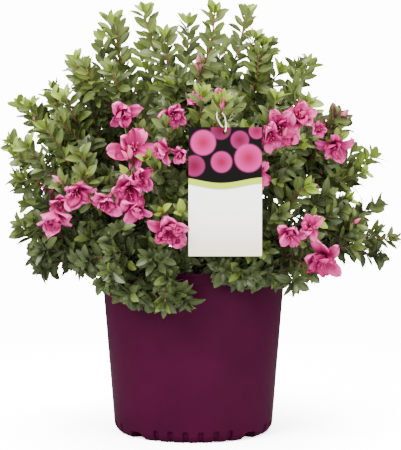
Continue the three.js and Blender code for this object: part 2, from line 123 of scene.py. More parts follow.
TIERS = (
    Tier((247, 257), 32, 0.44, 38, 0.9, 6, 2, 0.62, 300, 0.06, 0.62, 5, 0.72, 110,  # the skirt over the rim
         ((-18, 270, 335), (-7, 316, 298), (-43, 248, 258), (-67, 196, 250),
          (-103, 190, 205), (-129, 212, 236), (-165, 282, 326), (176, 258, 258),
          (147, 270, 300), (118, 252, 268), (84, 262, 300), (52, 268, 262))),
    Tier((267, 277), 50, 0.42, 22, 0, 42, 46, 0.15, 460, 0.04, 0.5, 5, 0.66, 105,  # the crown's body
         ((4, 288, 430), (-10, 234, 491), (-26, 200, 518), (-49, 208, 470),
          (-78, 212, 522), (-117, 214, 440), (-145, 244, 395), (-169, 284, 440),
          (-176, 224, 524), (174, 277, 511), (146, 244, 470), (112, 224, 500),
          (76, 240, 455), (38, 246, 490))),
    Tier((290, 299), 64, 0.46, 8, 0, 74, 80, 0, 620, 0.02, 0.24, 2, 0.24, 58,  # the upright wands
         ((6, 179, 579), (-20, 116, 607), (36, 104, 658), (72, 140, 612),
          (98, 62, 641), (124, 152, 600), (160, 140, 644), (180, 179, 572),
          (-141, 96, 656), (-79, 166, 652))),
)
LEAST_ARCH = 8
POT_HEIGHT = 257
SOIL_TOP = 234 * MM
TRUNK = {"foot": 234.3, "top": 304, "lean": 5, "flare": 17, "waist": 10, "tip": 6.5, "flare_share": 0.16}
BOUGH_RADII = (4.3, 2.7)
STEM_RADII = (2.2, 1.1)
SHOOT_REACH = 18  # from a stem's end to the tips of its last leaves


def polar(azimuth, reach, height):
    """A place given by azimuth in degrees, reach from the pot's axis and height."""
    angle = math.radians(azimuth)
    return np.array([reach * math.cos(angle), reach * math.sin(angle), height])


def heading(azimuth, rise):
    """A unit vector at an azimuth, raised above level."""
    return polar(azimuth, math.cos(math.radians(rise)), math.sin(math.radians(rise)))


def unit(vector):
    """The vector at length one."""
    return vector / np.linalg.norm(vector)


def turned(vector, axis, degrees):
    """A vector turned about a unit axis."""
    angle = math.radians(degrees)
    return (
        vector * math.cos(angle)
        + np.cross(axis, vector) * math.sin(angle)
        + axis * np.dot(axis, vector) * (1 - math.cos(angle))
    )


def level_side(direction, steepest=1.01):
    """A unit vector square to another: level, or square to X too where the other one is too upright."""
    return unit(np.cross(direction, UP if abs(direction[2]) < steepest else np.array([1.0, 0, 0])))


def aside(direction, degrees):
    """A unit vector square to another, turned about it from level."""
    return turned(level_side(direction), direction, degrees)


def leaned(direction, radial, degrees):
    """The way of a leaf or twig that leans off its limb, and its upper side."""
    lean = math.radians(degrees)
    along = direction * math.cos(lean) + radial * math.sin(lean)
    return along, direction * math.sin(lean) - radial * math.cos(lean)


class Path:
    """A cubic curve that can be read at any share of its length."""

    def __init__(self, start, start_direction, end, end_direction, slack=0.36):
        handle = np.linalg.norm(end - start) * slack
        hull = np.array([start, start + start_direction * handle, end - end_direction * handle, end])
        t = np.linspace(0, 1, 49)[:, None]
        weights = np.hstack([(1 - t) ** 3, 3 * t * (1 - t) ** 2, 3 * t**2 * (1 - t), t**3])
        self.points = weights @ hull
        steps = np.linalg.norm(np.diff(self.points, axis=0), axis=1)
        self.marks = np.concatenate([[0], np.cumsum(steps)])
        self.length = self.marks[-1]

    def point(self, share):
        """The place at a share of the length."""
        wanted = np.clip(share, 0, 1) * self.length
        return np.array([np.interp(wanted, self.marks, self.points[:, k]) for k in range(3)])

    def places(self, shares):
        """The places at several shares of the length."""
        return np.array([self.point(share) for share in shares])

    def tangent(self, share):
        """The direction at a share of the length."""
        return unit(self.point(min(share + 0.02, 1)) - self.point(max(share - 0.02, 0)))


class Bough(NamedTuple):
    """A bough's curve, where and how it ends, its two shoots and their ends."""

    path: Path
    end: np.ndarray
    end_direction: np.ndarray
    shoots: tuple
    tips: list


class Stem(NamedTuple):
    """The stem of one mass of foliage."""

    tier: Tier
    shoot: tuple
    path: Path
    tip: np.ndarray


def trunk_path():
    """The trunk's curve, from the potting mix to the fork."""
    foot = np.array([0, 0, TRUNK["foot"]])
    top = np.array([TRUNK["lean"], -TRUNK["lean"] / 2, TRUNK["top"]])
    return Path(foot * MM, UP, top * MM, UP)


def trunk_radius(share):
    """The trunk's radius, flared at its foot."""
    flare = max(0, 1 - share / TRUNK["flare_share"]) ** 2
    straight = TRUNK["waist"] + (TRUNK["tip"] - TRUNK["waist"]) * share
    return (straight + (TRUNK["flare"] - TRUNK["waist"]) * flare) * MM


def tier_boughs(tier, trunk):
    """The boughs of one storey."""
    boughs = []
    for i in range(0, len(tier.shoots), 2):
        tips = []
        for azimuth, reach, height in tier.shoots[i : i + 2]:
            direction = heading(azimuth, tier.tip_rise + (height - tier.mean_height) * tier.tip_droop)
            tips.append((polar(azimuth, reach, height) * MM - direction * SHOOT_REACH * MM, direction))
        between = (tips[0][0] + tips[1][0]) / 2
        azimuth = math.degrees(math.atan2(between[1], between[0]))
        height = tier.trunk_heights[(i // 2) % len(tier.trunk_heights)]
        foot = trunk.point((height - TRUNK["foot"]) / (TRUNK["top"] - TRUNK["foot"]))
        above_rim = max(0, between[2] / MM - POT_HEIGHT)
        arch = max(LEAST_ARCH, tier.arch - above_rim * tier.arch_fade)
        end = foot + (between - foot) * tier.bough_share + UP * arch * MM
        end_direction = heading(azimuth, tier.end_rise)
        path = Path(foot, heading(azimuth, tier.rise), end, end_direction)
        boughs.append(Bough(path, end, end_direction, tier.shoots[i : i + 2], tips))
    return boughs


def bough_stems(tier, bough):
    """The two stems that a bough carries."""
    apart = bough.tips[0][0] - bough.tips[1][0]
    apart = unit(apart - bough.end_direction * np.dot(apart, bough.end_direction))
    stems = []
    for side, shoot, (tip, direction) in zip((1, -1), bough.shoots, bough.tips):
        foot = bough.end + apart * side * STEM_RADII[0] * MM
        stems.append(Stem(tier, shoot, Path(foot, bough.end_direction, tip, direction), tip))
    return stems


TRUNK_PATH = trunk_path()
BOUGHS = [(tier, bough) for tier in TIERS for bough in tier_boughs(tier, TRUNK_PATH)]
STEMS = [stem for tier, bough in BOUGHS for stem in bough_stems(tier, bough)]


# ---- meshes from arrays ----


def new_object(name, data):
    """An object at the origin, in the scene."""
    made = bpy.data.objects.new(name, data)
    bpy.context.scene.collection.objects.link(made)
    return made


def evaluated_mesh(source):
    """A plain mesh of an object with its curve or modifiers worked out."""
    return bpy.data.meshes.new_from_object(source.evaluated_get(bpy.context.evaluated_depsgraph_get()))


class MeshPile:
    """Corners, faces and UVs of many small forms that become one mesh."""

    def __init__(self):
        self.corners = []
        self.faces = []
        self.uvs = []
        self.count = 0

    def add(self, corners, faces, uvs):
        """Adds one form. Each corner has one place on the UV map."""
        self.corners.extend(corners)
        self.faces.extend([[k + self.count for k in face] for face in faces])
        self.uvs.extend([uvs[k] for face in faces for k in face])
        self.count += len(corners)

    def piece(self, name, material, smooth=True):
        """The pile as an object at the origin."""
        mesh = bpy.data.meshes.new(name)
        mesh.from_pydata([tuple(corner) for corner in self.corners], [], self.faces)
        layer = mesh.uv_layers.new(name="surface")
        layer.data.foreach_set("uv", np.array(self.uvs, dtype=np.float32).ravel())
        mesh.polygons.foreach_set("use_smooth", [smooth] * len(mesh.polygons))
        mesh.materials.append(material)
        mesh.validate()
        mesh.update()
        return new_object(name, mesh)


def grid_faces(rows, columns, closed):
    """Quads of a grid whose corners run along the columns first."""
    faces = []
    for row in range(rows - 1):
        for column in range(columns if closed else columns - 1):
            across = (column + 1) % columns
            here = row * columns
            faces.append([here + column, here + across, here + columns + across, here + columns + column])
    return faces


def add_tube(pile, points, radii, sides, relief=None):
    """A round limb along the points, closed at both ends."""
    tangents = np.gradient(points, axis=0)
    tangents /= np.linalg.norm(tangents, axis=1)[:, None]
    side = level_side(tangents[0], 0.9)
    corners = []
    uvs = []
    along = np.concatenate([[0], np.cumsum(np.linalg.norm(np.diff(points, axis=0), axis=1))])
    for row, (point, tangent) in enumerate(zip(points, tangents)):
        side = unit(side - tangent * np.dot(side, tangent))
        over = np.cross(tangent, side)
        for k in range(sides):
            angle = 2 * math.pi * k / sides
            radius = radii[row] * (1 + (relief(angle, along[row]) if relief else 0))
            corners.append(point + (side * math.cos(angle) + over * math.sin(angle)) * radius)
            uvs.append((k / sides, along[row] * 20))
    faces = grid_faces(len(points), sides, closed=True)
    last = (len(points) - 1) * sides
    faces.append(list(range(sides - 1, -1, -1)))
    faces.append([last + k for k in range(sides)])
    pile.add(corners, faces, uvs)


def finish_piece(piece, slot, *nodes):
    """Rides a piece on the plant's body and hides the nodes it stands for; its slot is not used."""
    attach(piece, BODY)
    if nodes:
        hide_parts(*nodes)


def weld(piece, distance=0.00005):
    """Merges corners that coincide and turns every face outward."""
    form = bmesh.new()
    form.from_mesh(piece.data)
    bmesh.ops.remove_doubles(form, verts=form.verts, dist=distance)
    bmesh.ops.dissolve_degenerate(form, edges=form.edges, dist=distance / 10)
    bmesh.ops.recalc_face_normals(form, faces=form.faces)
    form.to_mesh(piece.data)
    form.free()


def sharpen(piece, degrees):
    """Shades smooth except across edges that turn by more than an angle."""
    piece.data.set_sharp_from_angle(angle=math.radians(degrees))


# ---- nodes ----


class Nodes:
    """Short calls that build a node tree."""

    def __init__(self, tree):
        self.tree = tree

    def feed(self, socket, value):
        """Links an output to a socket, or sets the socket's own value."""
        if isinstance(value, bpy.types.NodeSocket):
            self.tree.links.new(value, socket)
        else:
            socket.default_value = value

    def add(self, kind, inputs=None, **settings):
        """A node with its settings, and for each input a value or the output that feeds it."""
        node = self.tree.nodes.new(kind)
        for name, value in settings.items():
            setattr(node, name, value)
        for name, value in (inputs or {}).items():
            self.feed(node.inputs[name], value)
        return node

    def calculate(self, operation, *values):
        """One step of arithmetic."""
        return self.add("ShaderNodeMath", dict(enumerate(values)), operation=operation).outputs[0]

    def ramp(self, value, start, end, low=0.0, high=1.0, shape="LINEAR"):
        """A value spread from one range to another."""
        inputs = {"Value": value, "From Min": start, "From Max": end, "To Min": low, "To Max": high}
        return self.add("ShaderNodeMapRange", inputs, interpolation_type=shape).outputs["Result"]

    def mix(self, factor, below, above):
        """One colour over another: each is a colour or an output."""
        inputs = {"Factor": factor, "A": below, "B": above}
        inputs = {name: (*value, 1) if isinstance(value, tuple) else value for name, value in inputs.items()}
        return self.add("ShaderNodeMix", inputs, data_type="RGBA").outputs["Result"]


def new_group(name, kind, inputs, outputs):
    """A node group with named sockets, as its nodes and what comes in."""
    tree = bpy.data.node_groups.new(name, kind)
    for in_out, sockets in (("INPUT", inputs), ("OUTPUT", outputs)):
        for label, socket, *default in sockets:
            made = tree.interface.new_socket(label, in_out=in_out, socket_type=f"NodeSocket{socket}")
            if default:
                made.default_value = default[0]
    nodes = Nodes(tree)
    return nodes, nodes.add("NodeGroupInput").outputs


# ---- Geometry Nodes: forms set out on points ----


def scatter_tree():
    """Sets one of a collection's forms on every point, by the point's own turn, size and kind."""
    inputs = (
        ("Geometry", "Geometry"),
        ("Forms", "Collection"),
        ("Overall Size", "Float", 1.0),
        ("Material", "Material"),
    )
    nodes, entry = new_group("forms_on_points", "GeometryNodeTree", inputs, (("Geometry", "Geometry"),))

    def point_value(name, kind):
        reader = nodes.add("GeometryNodeInputNamedAttribute", {"Name": name}, data_type=kind)
        return reader.outputs["Attribute"]

    forms = {"Collection": entry["Forms"], "Separate Children": True, "Reset Children": True}
    forms = nodes.add("GeometryNodeCollectionInfo", forms)
    instances = {
        "Points": entry["Geometry"],
        "Instance": forms.outputs["Instances"],
        "Pick Instance": True,
        "Instance Index": point_value("kind", "INT"),
        "Rotation": point_value("turn", "FLOAT_VECTOR"),
        "Scale": nodes.calculate("MULTIPLY", point_value("size", "FLOAT"), entry["Overall Size"]),
    }
    instances = nodes.add("GeometryNodeInstanceOnPoints", instances)
    realize = nodes.add("GeometryNodeRealizeInstances", {"Geometry": instances.outputs["Instances"]})
    finish = {"Geometry": realize.outputs["Geometry"], "Material": entry["Material"]}
    finish = nodes.add("GeometryNodeSetMaterial", finish)
    nodes.add("NodeGroupOutput", {"Geometry": finish.outputs["Geometry"]})
    return nodes.tree


def set_modifier_input(modifier, name, value):
    """Sets a Geometry Nodes input by its socket's identifier."""
    for item in modifier.node_group.interface.items_tree:
        if item.item_type == "SOCKET" and item.in_out == "INPUT" and item.name == name:
            modifier[item.identifier] = value
            return
    raise KeyError(name)


def scatter(name, places, forms, material, overall_size=1.0):
    """A piece made of forms set out on places: each is (root, 3x3 axes, size, kind)."""
    roots, turns, sizes, kinds = zip(*places)
    turns = np.array([Matrix(turn.tolist()).to_euler() for turn in turns]).ravel()
    mesh = bpy.data.meshes.new(name)
    mesh.from_pydata([tuple(root) for root in roots], [], [])
    mesh.attributes.new("turn", "FLOAT_VECTOR", "POINT").data.foreach_set("vector", turns)
    mesh.attributes.new("size", "FLOAT", "POINT").data.foreach_set("value", sizes)
    mesh.attributes.new("kind", "INT", "POINT").data.foreach_set("value", kinds)
    piece = new_object(name, mesh)
    modifier = piece.modifiers.new("scatter", "NODES")
    modifier.node_group = bpy.data.node_groups.get("forms_on_points") or scatter_tree()
    for label, value in (("Forms", forms), ("Overall Size", overall_size), ("Material", material)):
        set_modifier_input(modifier, label, value)
    realized = evaluated_mesh(piece)
    piece.modifiers.clear()
    piece.data = realized
    realized.name = name
    bpy.data.meshes.remove(mesh)
    return piece


def form_collection(name, piles):
    """A collection of prototype forms that isn't in the scene."""
    collection = bpy.data.collections.new(name)
    for i, pile in enumerate(piles):
        form = pile.piece(f"{name}_{i}", None)
        bpy.context.scene.collection.objects.unlink(form)
        collection.objects.link(form)
    return collection


def remove_forms(collection):
    """Takes the prototypes out of the file once their piece is made."""
    for form in list(collection.objects):
        bpy.data.objects.remove(form)
    bpy.data.collections.remove(collection)


# ---- shading ----


def scaled(colour, factor, lift=0.0):
    """A colour made darker or lighter."""
    return tuple(min(1, channel * factor + lift) for channel in colour)


class Shading(Nodes):
    """A new material's nodes, with its Principled shader."""

    def __init__(self, name, roughness, colour=(0.5, 0.5, 0.5)):
        self.material = bpy.data.materials.new(name)
        self.material.use_nodes = True
        super().__init__(self.material.node_tree)
        self.shader = self.tree.nodes["Principled BSDF"]
        self.set("Roughness", roughness)
        self.set("Base Color", (*colour, 1))

    def set(self, name, value):
        """Feeds one of the shader's inputs."""
        self.feed(self.shader.inputs[name], value)

    def bump(self, height, strength, distance):
        """Feeds a height to the shader as relief."""
        relief = self.add("ShaderNodeBump", {"Strength": strength, "Distance": distance, "Height": height})
        self.set("Normal", relief.outputs["Normal"])

    def surface(self):
        """The places on the piece's own UV map, as X and Y."""
        places = self.add("ShaderNodeUVMap", uv_map="surface")
        return self.add("ShaderNodeSeparateXYZ", {0: places.outputs["UV"]}).outputs


def mottle_group():
    """Varies a colour over the surface, and gives a fine height: used by most finishes."""
    tree = bpy.data.node_groups.get("mottle")
    if tree:
        return tree
    inputs = (
        ("Colour", "Color"),
        ("Dark Colour", "Color"),
        ("Patch Scale", "Float", 30),
        ("Grain Scale", "Float", 600),
        ("Coordinates", "Vector"),
    )
    nodes, entry = new_group("mottle", "ShaderNodeTree", inputs, (("Colour", "Color"), ("Height", "Float")))

    def noise(scale, detail):
        inputs = {"Vector": entry["Coordinates"], "Scale": entry[scale], "Detail": detail}
        return nodes.add("ShaderNodeTexNoise", inputs).outputs[0]

    patches = nodes.ramp(noise("Patch Scale", 3), 0.32, 0.68)
    tone = nodes.mix(patches, entry["Dark Colour"], entry["Colour"])
    nodes.add("NodeGroupOutput", {"Colour": tone, "Height": noise("Grain Scale", 2)})
    return nodes.tree


def mottled(name, colour, dark, roughness, patch_scale, grain_scale, strength, distance):
    """A finish whose colour varies in patches and whose surface has a fine grain, as shading and tone."""
    shading = Shading(name, roughness, colour)
    inputs = {
        "Colour": (*colour, 1),
        "Dark Colour": (*dark, 1),
        "Patch Scale": patch_scale,
        "Grain Scale": grain_scale,
        "Coordinates": shading.add("ShaderNodeTexCoord").outputs["Object"],
    }
    tone = shading.add("ShaderNodeGroup", inputs, node_tree=mottle_group()).outputs
    shading.set("Base Color", tone["Colour"])
    shading.bump(tone["Height"], strength, distance)
    return shading, tone


def plain_finish(*finish):
    """A mottled material with nothing added."""
    return mottled(*finish)[0].material


# ---- pot ----


class PotSettings(bpy.types.PropertyGroup):
    """Sizes and colour of the nursery pot."""

    height: FloatProperty(name="Height", description="Foot to rim", default=POT_HIGH.z, subtype="DISTANCE")
    base_radius: FloatProperty(
        name="Base Radius", description="At the foot", default=POT_BASE_RADIUS, subtype="DISTANCE"
    )
    rim_radius: FloatProperty(
        name="Rim Radius", description="Outside of the rim's bead", default=POT_HIGH.x, subtype="DISTANCE"
    )
    wall: FloatProperty(name="Wall", description="Thickness of the wall", default=0.0026, subtype="DISTANCE")
    band: FloatProperty(
        name="Band", description="Height of the band below the rim", default=0.017, subtype="DISTANCE"
    )
    flutes: IntProperty(name="Flutes", description="Arched flutes on each foot", default=6, min=0)
    notches: IntProperty(name="Notches", description="Gaps between the feet", default=4, min=0)
    colour: FloatVectorProperty(
        name="Colour", description="Of the moulded plastic", default=(0.036, 0.0011, 0.0150), subtype="COLOR"
    )


BAND_STEP = 0.0016  # how far the band stands proud of the wall
BEAD_STEP = 0.0014  # how far the rim's bead stands proud of the band
BEAD_HEIGHT = 0.005
FLUTE = {"pitch": 10.9, "width": 0.008, "height": 0.018, "depth": 0.004, "inward": 0.009}
FLUTE_EDGE = {"up": 0.0012, "across": 0.0007}  # how soon a flute reaches its depth
NOTCH = {"width": 0.026, "height": 0.011, "depth": 0.024, "draft": 0.02}
FOOT_TAPER = {"inward": 0.006, "height": 0.011, "power": 1.6}
FOOT_HEIGHT = 0.02  # flutes and notches end below this
FOOT_ROWS = (  # heights of the rows of corners up the foot, close where flutes and notches end
    0.0008, 0.0022, 0.004, 0.006, 0.008, 0.0095, 0.0105, 0.0115,
    0.013, 0.0145, 0.016, 0.0172, 0.018, 0.0192, 0.022, 0.03,
)
UNDERSIDE_INSETS = (0.034, 0.029, 0.018, 0.0072)  # of its rows of corners, from the foot
POT_FLOOR = {"top": 0.006, "wall": 0.004, "ring_top": 0.024, "corner": 0.020}
POT_COLUMNS = 480


def pot_profile(settings):
    """Radius and height of the pot's skin, from under its middle out, up, and back to the middle inside."""
    top = settings.height
    band_foot = top - settings.band
    bead_foot = top - BEAD_HEIGHT
    slope = (settings.rim_radius - BEAD_STEP - BAND_STEP - settings.base_radius) / top

    def wall(z):
        taper = max(0, 1 - z / FOOT_TAPER["height"]) ** FOOT_TAPER["power"]
        return settings.base_radius + slope * z - taper * FOOT_TAPER["inward"]

    body_rows = [
        FOOT_ROWS[-1] + (band_foot - 0.034) * share for share in (0.15, 0.3, 0.45, 0.6, 0.75, 0.9, 1)
    ]
    outer = [(wall(z), z) for z in (*FOOT_ROWS, *body_rows)]
    bead_middle = bead_foot + BEAD_HEIGHT / 2
    rim = settings.rim_radius
    band = [
        (wall(band_foot) + 0.0001, band_foot - 0.0012),
        (wall(band_foot) + 0.0006, band_foot - 0.0002),
        (wall(band_foot) + BAND_STEP, band_foot + 0.0006),
        (wall(band_foot) + BAND_STEP, band_foot + 0.0016),
        (wall(bead_foot) + BAND_STEP, bead_foot - 0.001),
        (wall(bead_foot) + BAND_STEP + 0.0002, bead_foot),
        (rim - 0.0003, bead_foot + 0.0008),
        (rim, bead_middle),
        (rim - 0.0003, top - 0.001),
        (rim - 0.0013, top - 0.0002),
        (rim - 0.0026, top),
    ]
    inner_top = wall(top) - settings.wall
    inner = [(inner_top + 0.0006, top - 0.0002), (inner_top, top - 0.0012)]
    inner += [(wall(z) - settings.wall, z) for z in (top * 0.98, top * 0.95, top * 0.9, top * 0.6, 0.028)]
    underside = [(0.0, 0.0), (settings.base_radius * 0.5, 0.0)]
    underside += [(settings.base_radius - inset, 0.0) for inset in UNDERSIDE_INSETS]
    foot_inside = settings.base_radius - NOTCH["depth"] - POT_FLOOR["wall"]
    floor = [
        (foot_inside + 0.002, POT_FLOOR["ring_top"]),
        (foot_inside, POT_FLOOR["corner"]),
        (foot_inside, POT_FLOOR["top"]),
        (0.0, POT_FLOOR["top"]),
    ]
    return underside + outer + band + inner + floor


def foot_radius(settings, azimuth, z, radius):
    """The radius of the pot's foot, drawn in by a flute or by a notch between two feet."""
    base = settings.base_radius
    spacing = 360 / max(settings.notches, 1)
    from_notch = azimuth % spacing - spacing / 2
    across = abs(math.radians(from_notch)) * base
    notch_top = NOTCH["height"] * math.sqrt(max(0, 1 - (across / (NOTCH["width"] / 2)) ** 4))
    if settings.notches and z < notch_top:
        inner = base - NOTCH["depth"]
        return inner - (base - radius) * NOTCH["draft"] if radius > inner else radius
    from_foot = (azimuth + spacing / 2) % spacing - spacing / 2
    nearest = round(from_foot / FLUTE["pitch"] - 0.5) + 0.5
    if abs(nearest) > settings.flutes / 2 or radius < base - FLUTE["inward"]:
        return radius
    off = abs(math.radians(from_foot - nearest * FLUTE["pitch"])) * base
    half = FLUTE["width"] / 2
    arch_top = FLUTE["height"] - half + math.sqrt(max(0, half**2 - off**2)) if off < half else 0
    below = max(0, min(1, (arch_top - z) / FLUTE_EDGE["up"]))
    inside = max(0, min(1, (half - off) / FLUTE_EDGE["across"]))
    return radius - FLUTE["depth"] * (below * inside)


def pot_material(settings):
    """Satin moulded plastic with a fine orange peel and faint scuffs."""
    colour = tuple(settings.colour)
    shading, tone = mottled("pot_plastic", colour, scaled(colour, 0.82), 0.36, 14, 260, 0.10, 0.0006)
    shading.set("Roughness", shading.ramp(tone["Height"], 0.3, 0.7, 0.31, 0.42))
    shading.set("IOR", 1.16)
    return shading.material


def make_pot(settings):
    """The pot as one closed skin with flutes and notched feet."""
    profile = pot_profile(settings)
    outer_rows = next(row for row, (_, z) in enumerate(profile) if z > FOOT_ROWS[-1])
    corners = []
    uvs = []
    for row, (radius, z) in enumerate(profile):
        on_foot = row < outer_rows and z < FOOT_HEIGHT
        for k in range(POT_COLUMNS):
            azimuth = 360 * k / POT_COLUMNS
            reach = foot_radius(settings, azimuth, z, radius) if on_foot else radius
            corners.append(polar(azimuth, reach, z))
            uvs.append((k / POT_COLUMNS, z))
    pile = MeshPile()
    pile.add(corners, grid_faces(len(profile), POT_COLUMNS, closed=True), uvs)
    piece = pile.piece("pot_shell", pot_material(settings))
    weld(piece)
    sharpen(piece, 40)
    finish_piece(piece, "pot", "pot")


# ---- potting mix ----


BED_RADIUS = POT_HIGH.x - 0.0085
BED_COLUMNS = 72
BED_RINGS = 26
BED_LUMPS = {"count": 9, "across": 160, "height": 0.00055}
BED_UNDER = 0.03  # how far the bed's underside lies below its top
CHIPS = {"count": 900, "kinds": 5, "length": 0.007}
CHIP_OUTLINE = ((-1, -0.5), (0.2, -1), (1, -0.3), (0.8, 0.7), (-0.3, 1), (-0.9, 0.4))


def bed_sink(reach):
    """How far the bed's top lies below its middle."""
    return 0.004 * (reach / BED_RADIUS) ** 4


def make_potting_mix():
    """A rough bed of dark bark mix, with loose chips on it."""
    rng = np.random.default_rng(11)
    lumps = rng.normal(0, 1, (BED_LUMPS["count"], 3)) * (BED_LUMPS["across"], BED_LUMPS["across"], 3)

    def top(x, y, reach):
        height = sum(math.sin(x * a + y * b + c) for a, b, c in lumps) * BED_LUMPS["height"]
        return SOIL_TOP + height - bed_sink(reach)

    rings = [(BED_RADIUS * ring / (BED_RINGS - 1), top) for ring in range(BED_RINGS)]
    rings.append((BED_RADIUS - 0.004, lambda *_: SOIL_TOP - BED_UNDER))
    rings.append((0.0, lambda *_: SOIL_TOP - BED_UNDER - 0.002))
    corners = []
    for reach, height in rings:
        for k in range(BED_COLUMNS):
            x, y, _ = polar(360 * k / BED_COLUMNS, reach, 0)
            corners.append((x, y, height(x, y, reach)))
    pile = MeshPile()
    uvs = [(x * 4, y * 4) for x, y, _ in corners]
    pile.add(corners, grid_faces(len(rings), BED_COLUMNS, closed=True), uvs)
    finish = ((0.05, 0.028, 0.017), (0.014, 0.008, 0.006), 0.95, 90, 700, 0.8, 0.003)
    piece = pile.piece("potting_mix_bed", plain_finish("bark_mix", *finish))
    weld(piece)
    finish_piece(piece, "potting_mix", "potting_mix")
    make_chips(rng)


def chip_form(rng):
    """A splinter of bark: flat, uneven and blunt."""
    length, width, thickness = CHIPS["length"], rng.uniform(0.0025, 0.004), rng.uniform(0.0009, 0.0016)
    corners = []
    for z in (-0.5, 0.5):
        for x, y in CHIP_OUTLINE:
            jitter = rng.uniform(0.75, 1.1, 2)
            corners.append((x * length / 2 * jitter[0], y * width / 2 * jitter[1], z * thickness))
    faces = [[5, 4, 3, 2, 1, 0], [6, 7, 8, 9, 10, 11]]
    faces += [[k, (k + 1) % 6, 6 + (k + 1) % 6, 6 + k] for k in range(6)]
    pile = MeshPile()
    pile.add(corners, faces, [(corner[0] * 60, corner[1] * 60) for corner in corners])
    return pile


def make_chips(rng):
    """Loose chips over the bed."""
    places = []
    for _ in range(CHIPS["count"]):
        reach = BED_RADIUS * 0.95 * math.sqrt(rng.uniform(0.02, 1))
        azimuth = rng.uniform(0, 360)
        root = polar(azimuth, reach, SOIL_TOP + rng.uniform(-0.0005, 0.0015) - bed_sink(reach))
        normal = unit(UP + rng.normal(0, 0.35, 3))
        turn = axes(heading(rng.uniform(0, 360), 0), normal)
        places.append((root, turn, rng.uniform(0.6, 1.6), rng.integers(0, CHIPS["kinds"])))
    finish = ((0.08, 0.045, 0.027), (0.022, 0.013, 0.008), 0.9, 110, 900, 0.5, 0.001)
    material = plain_finish("bark_chip", *finish)
    forms = form_collection("chip_form", [chip_form(rng) for _ in range(CHIPS["kinds"])])
    piece = scatter("bark_chips", places, forms, material)
    remove_forms(forms)
    finish_piece(piece, "potting_mix", "potting_mix")


# ---- trunk and boughs ----


def bark_relief(seed):
    """Long shallow ridges that run up a limb."""
    phases = np.random.default_rng(seed).uniform(0, 2 * math.pi, 4)

    def relief(angle, along):
        ridges = math.sin(5 * angle + phases[0] + 30 * along) * 0.05
        ridges += math.sin(9 * angle + phases[1] - 60 * along) * 0.03
        return ridges + math.sin(170 * along + phases[2] + 2 * angle) * 0.025

    return relief


def make_limbs():
    """Trunk and boughs with the relief of their bark."""
    bark = plain_finish("bark", (0.15, 0.10, 0.07), (0.05, 0.03, 0.02), 0.85, 120, 450, 0.6, 0.0015)
    trunk = MeshPile()
    shares = np.linspace(0, 1, 60)
    radii = [trunk_radius(share) for share in shares]
    add_tube(trunk, TRUNK_PATH.places(shares), radii, 40, bark_relief(1))
    finish_piece(trunk.piece("trunk_bark", bark), "bark", "trunk")
    boughs = MeshPile()
    shares = np.linspace(-0.04, 1, 30)
    foot, tip = BOUGH_RADII
    radii = [(foot + (tip - foot) * max(share, 0)) * MM for share in shares]
    for i, (_, bough) in enumerate(BOUGHS):
        points = bough.path.places(np.clip(shares, 0, 1))
        points[0] -= bough.path.tangent(0) * 0.004  # sunk into the trunk
        add_tube(boughs, points, radii, 14, bark_relief(10 + i))
    finish_piece(boughs.piece("bough_bark", bark), "bark", *BOUGH_NODES)


# ---- foliage ----


class FoliageSettings(bpy.types.PropertyGroup):
    """Sizes, spacing and tints of twigs and leaves."""

    leaf_length: FloatProperty(
        name="Leaf Length", description="Of a full leaf", default=0.0288, subtype="DISTANCE"
    )
    leaf_width: FloatProperty(
        name="Leaf Width", description="Of a full leaf", default=0.0128, subtype="DISTANCE"
    )
    leaf_spacing: FloatProperty(
        name="Leaf Spacing", description="From one leaf to the next", default=0.0035, subtype="DISTANCE"
    )
    twig_spacing: FloatProperty(
        name="Twig Spacing", description="From one side twig to the next", default=0.021, subtype="DISTANCE"
    )
    twig_length: FloatProperty(
        name="Twig Length", description="Of a side twig", default=0.06, subtype="DISTANCE"
    )
    seed: IntProperty(name="Seed", description="Of everything random in the foliage", default=7)
    young: FloatVectorProperty(
        name="Young", description="Leaves at growing tips", default=(0.222, 0.312, 0.034), subtype="COLOR"
    )
    fresh: FloatVectorProperty(
        name="Fresh", description="Leaves below the tips", default=(0.126, 0.169, 0.031), subtype="COLOR"
    )
    full: FloatVectorProperty(
        name="Full", description="Full-grown leaves", default=(0.101, 0.135, 0.031), subtype="COLOR"
    )
    bronze: FloatVectorProperty(
        name="Bronze", description="Leaves of a few shoots", default=(0.115, 0.068, 0.03), subtype="COLOR"
    )
    # The skirt tint is painted shade: a darker copy of the old leaves' green for leaves low over the rim,
    # where the crown shades them.
    skirt: FloatVectorProperty(
        name="Skirt", description="Old leaves over the rim", default=(0.054, 0.074, 0.024), subtype="COLOR"
    )
    # The deep tint is partly older leaves and partly painted shade: spray_tint gives it where the crown is in
    # shade.
    deep: FloatVectorProperty(
        name="Deep", description="Old inner leaves", default=(0.064, 0.085, 0.025), subtype="COLOR"
    )


TINTS = ("deep", "full", "fresh", "young", "bronze", "skirt")
DEEP, FULL, FRESH, YOUNG, BRONZE = range(5)  # places in TINTS, from old leaves to new ones; the darker tints also stand for painted shade inside the crown
STRAYS = {"shoot": 0.22, "twig": 0.16, "wand": 0.2}  # share of leaves a tint off their neighbours'
YOUNG_TIPS = {"lit": 0.8, "shaded": 0.12}  # share of shoots that end in young leaves
LEAF_HABITS = (  # curl along the leaf, fold at the midrib, twist
    (0.25, 0.30, 0.0), (0.7, 0.22, 0.1), (-0.2, 0.5, -0.1), (0.45, 0.12, 0.35), (0.1, 0.38, -0.3),
)
LEAF_ROWS = (  # shares of a leaf's length, and of its width there
    (0, 0.06), (0.07, 0.18), (0.2, 0.62), (0.36, 0.93), (0.53, 1.0), (0.73, 0.82), (0.89, 0.46), (1, 0),
)
LEAF_FACING = {  # most face more to front and back than sideways
    "flat": (0.3, 1.4, 0), "share": 0.72, "own": 0.7, "outward": (0.7, 1.9), "roll": 10, "more_roll": 14,
}
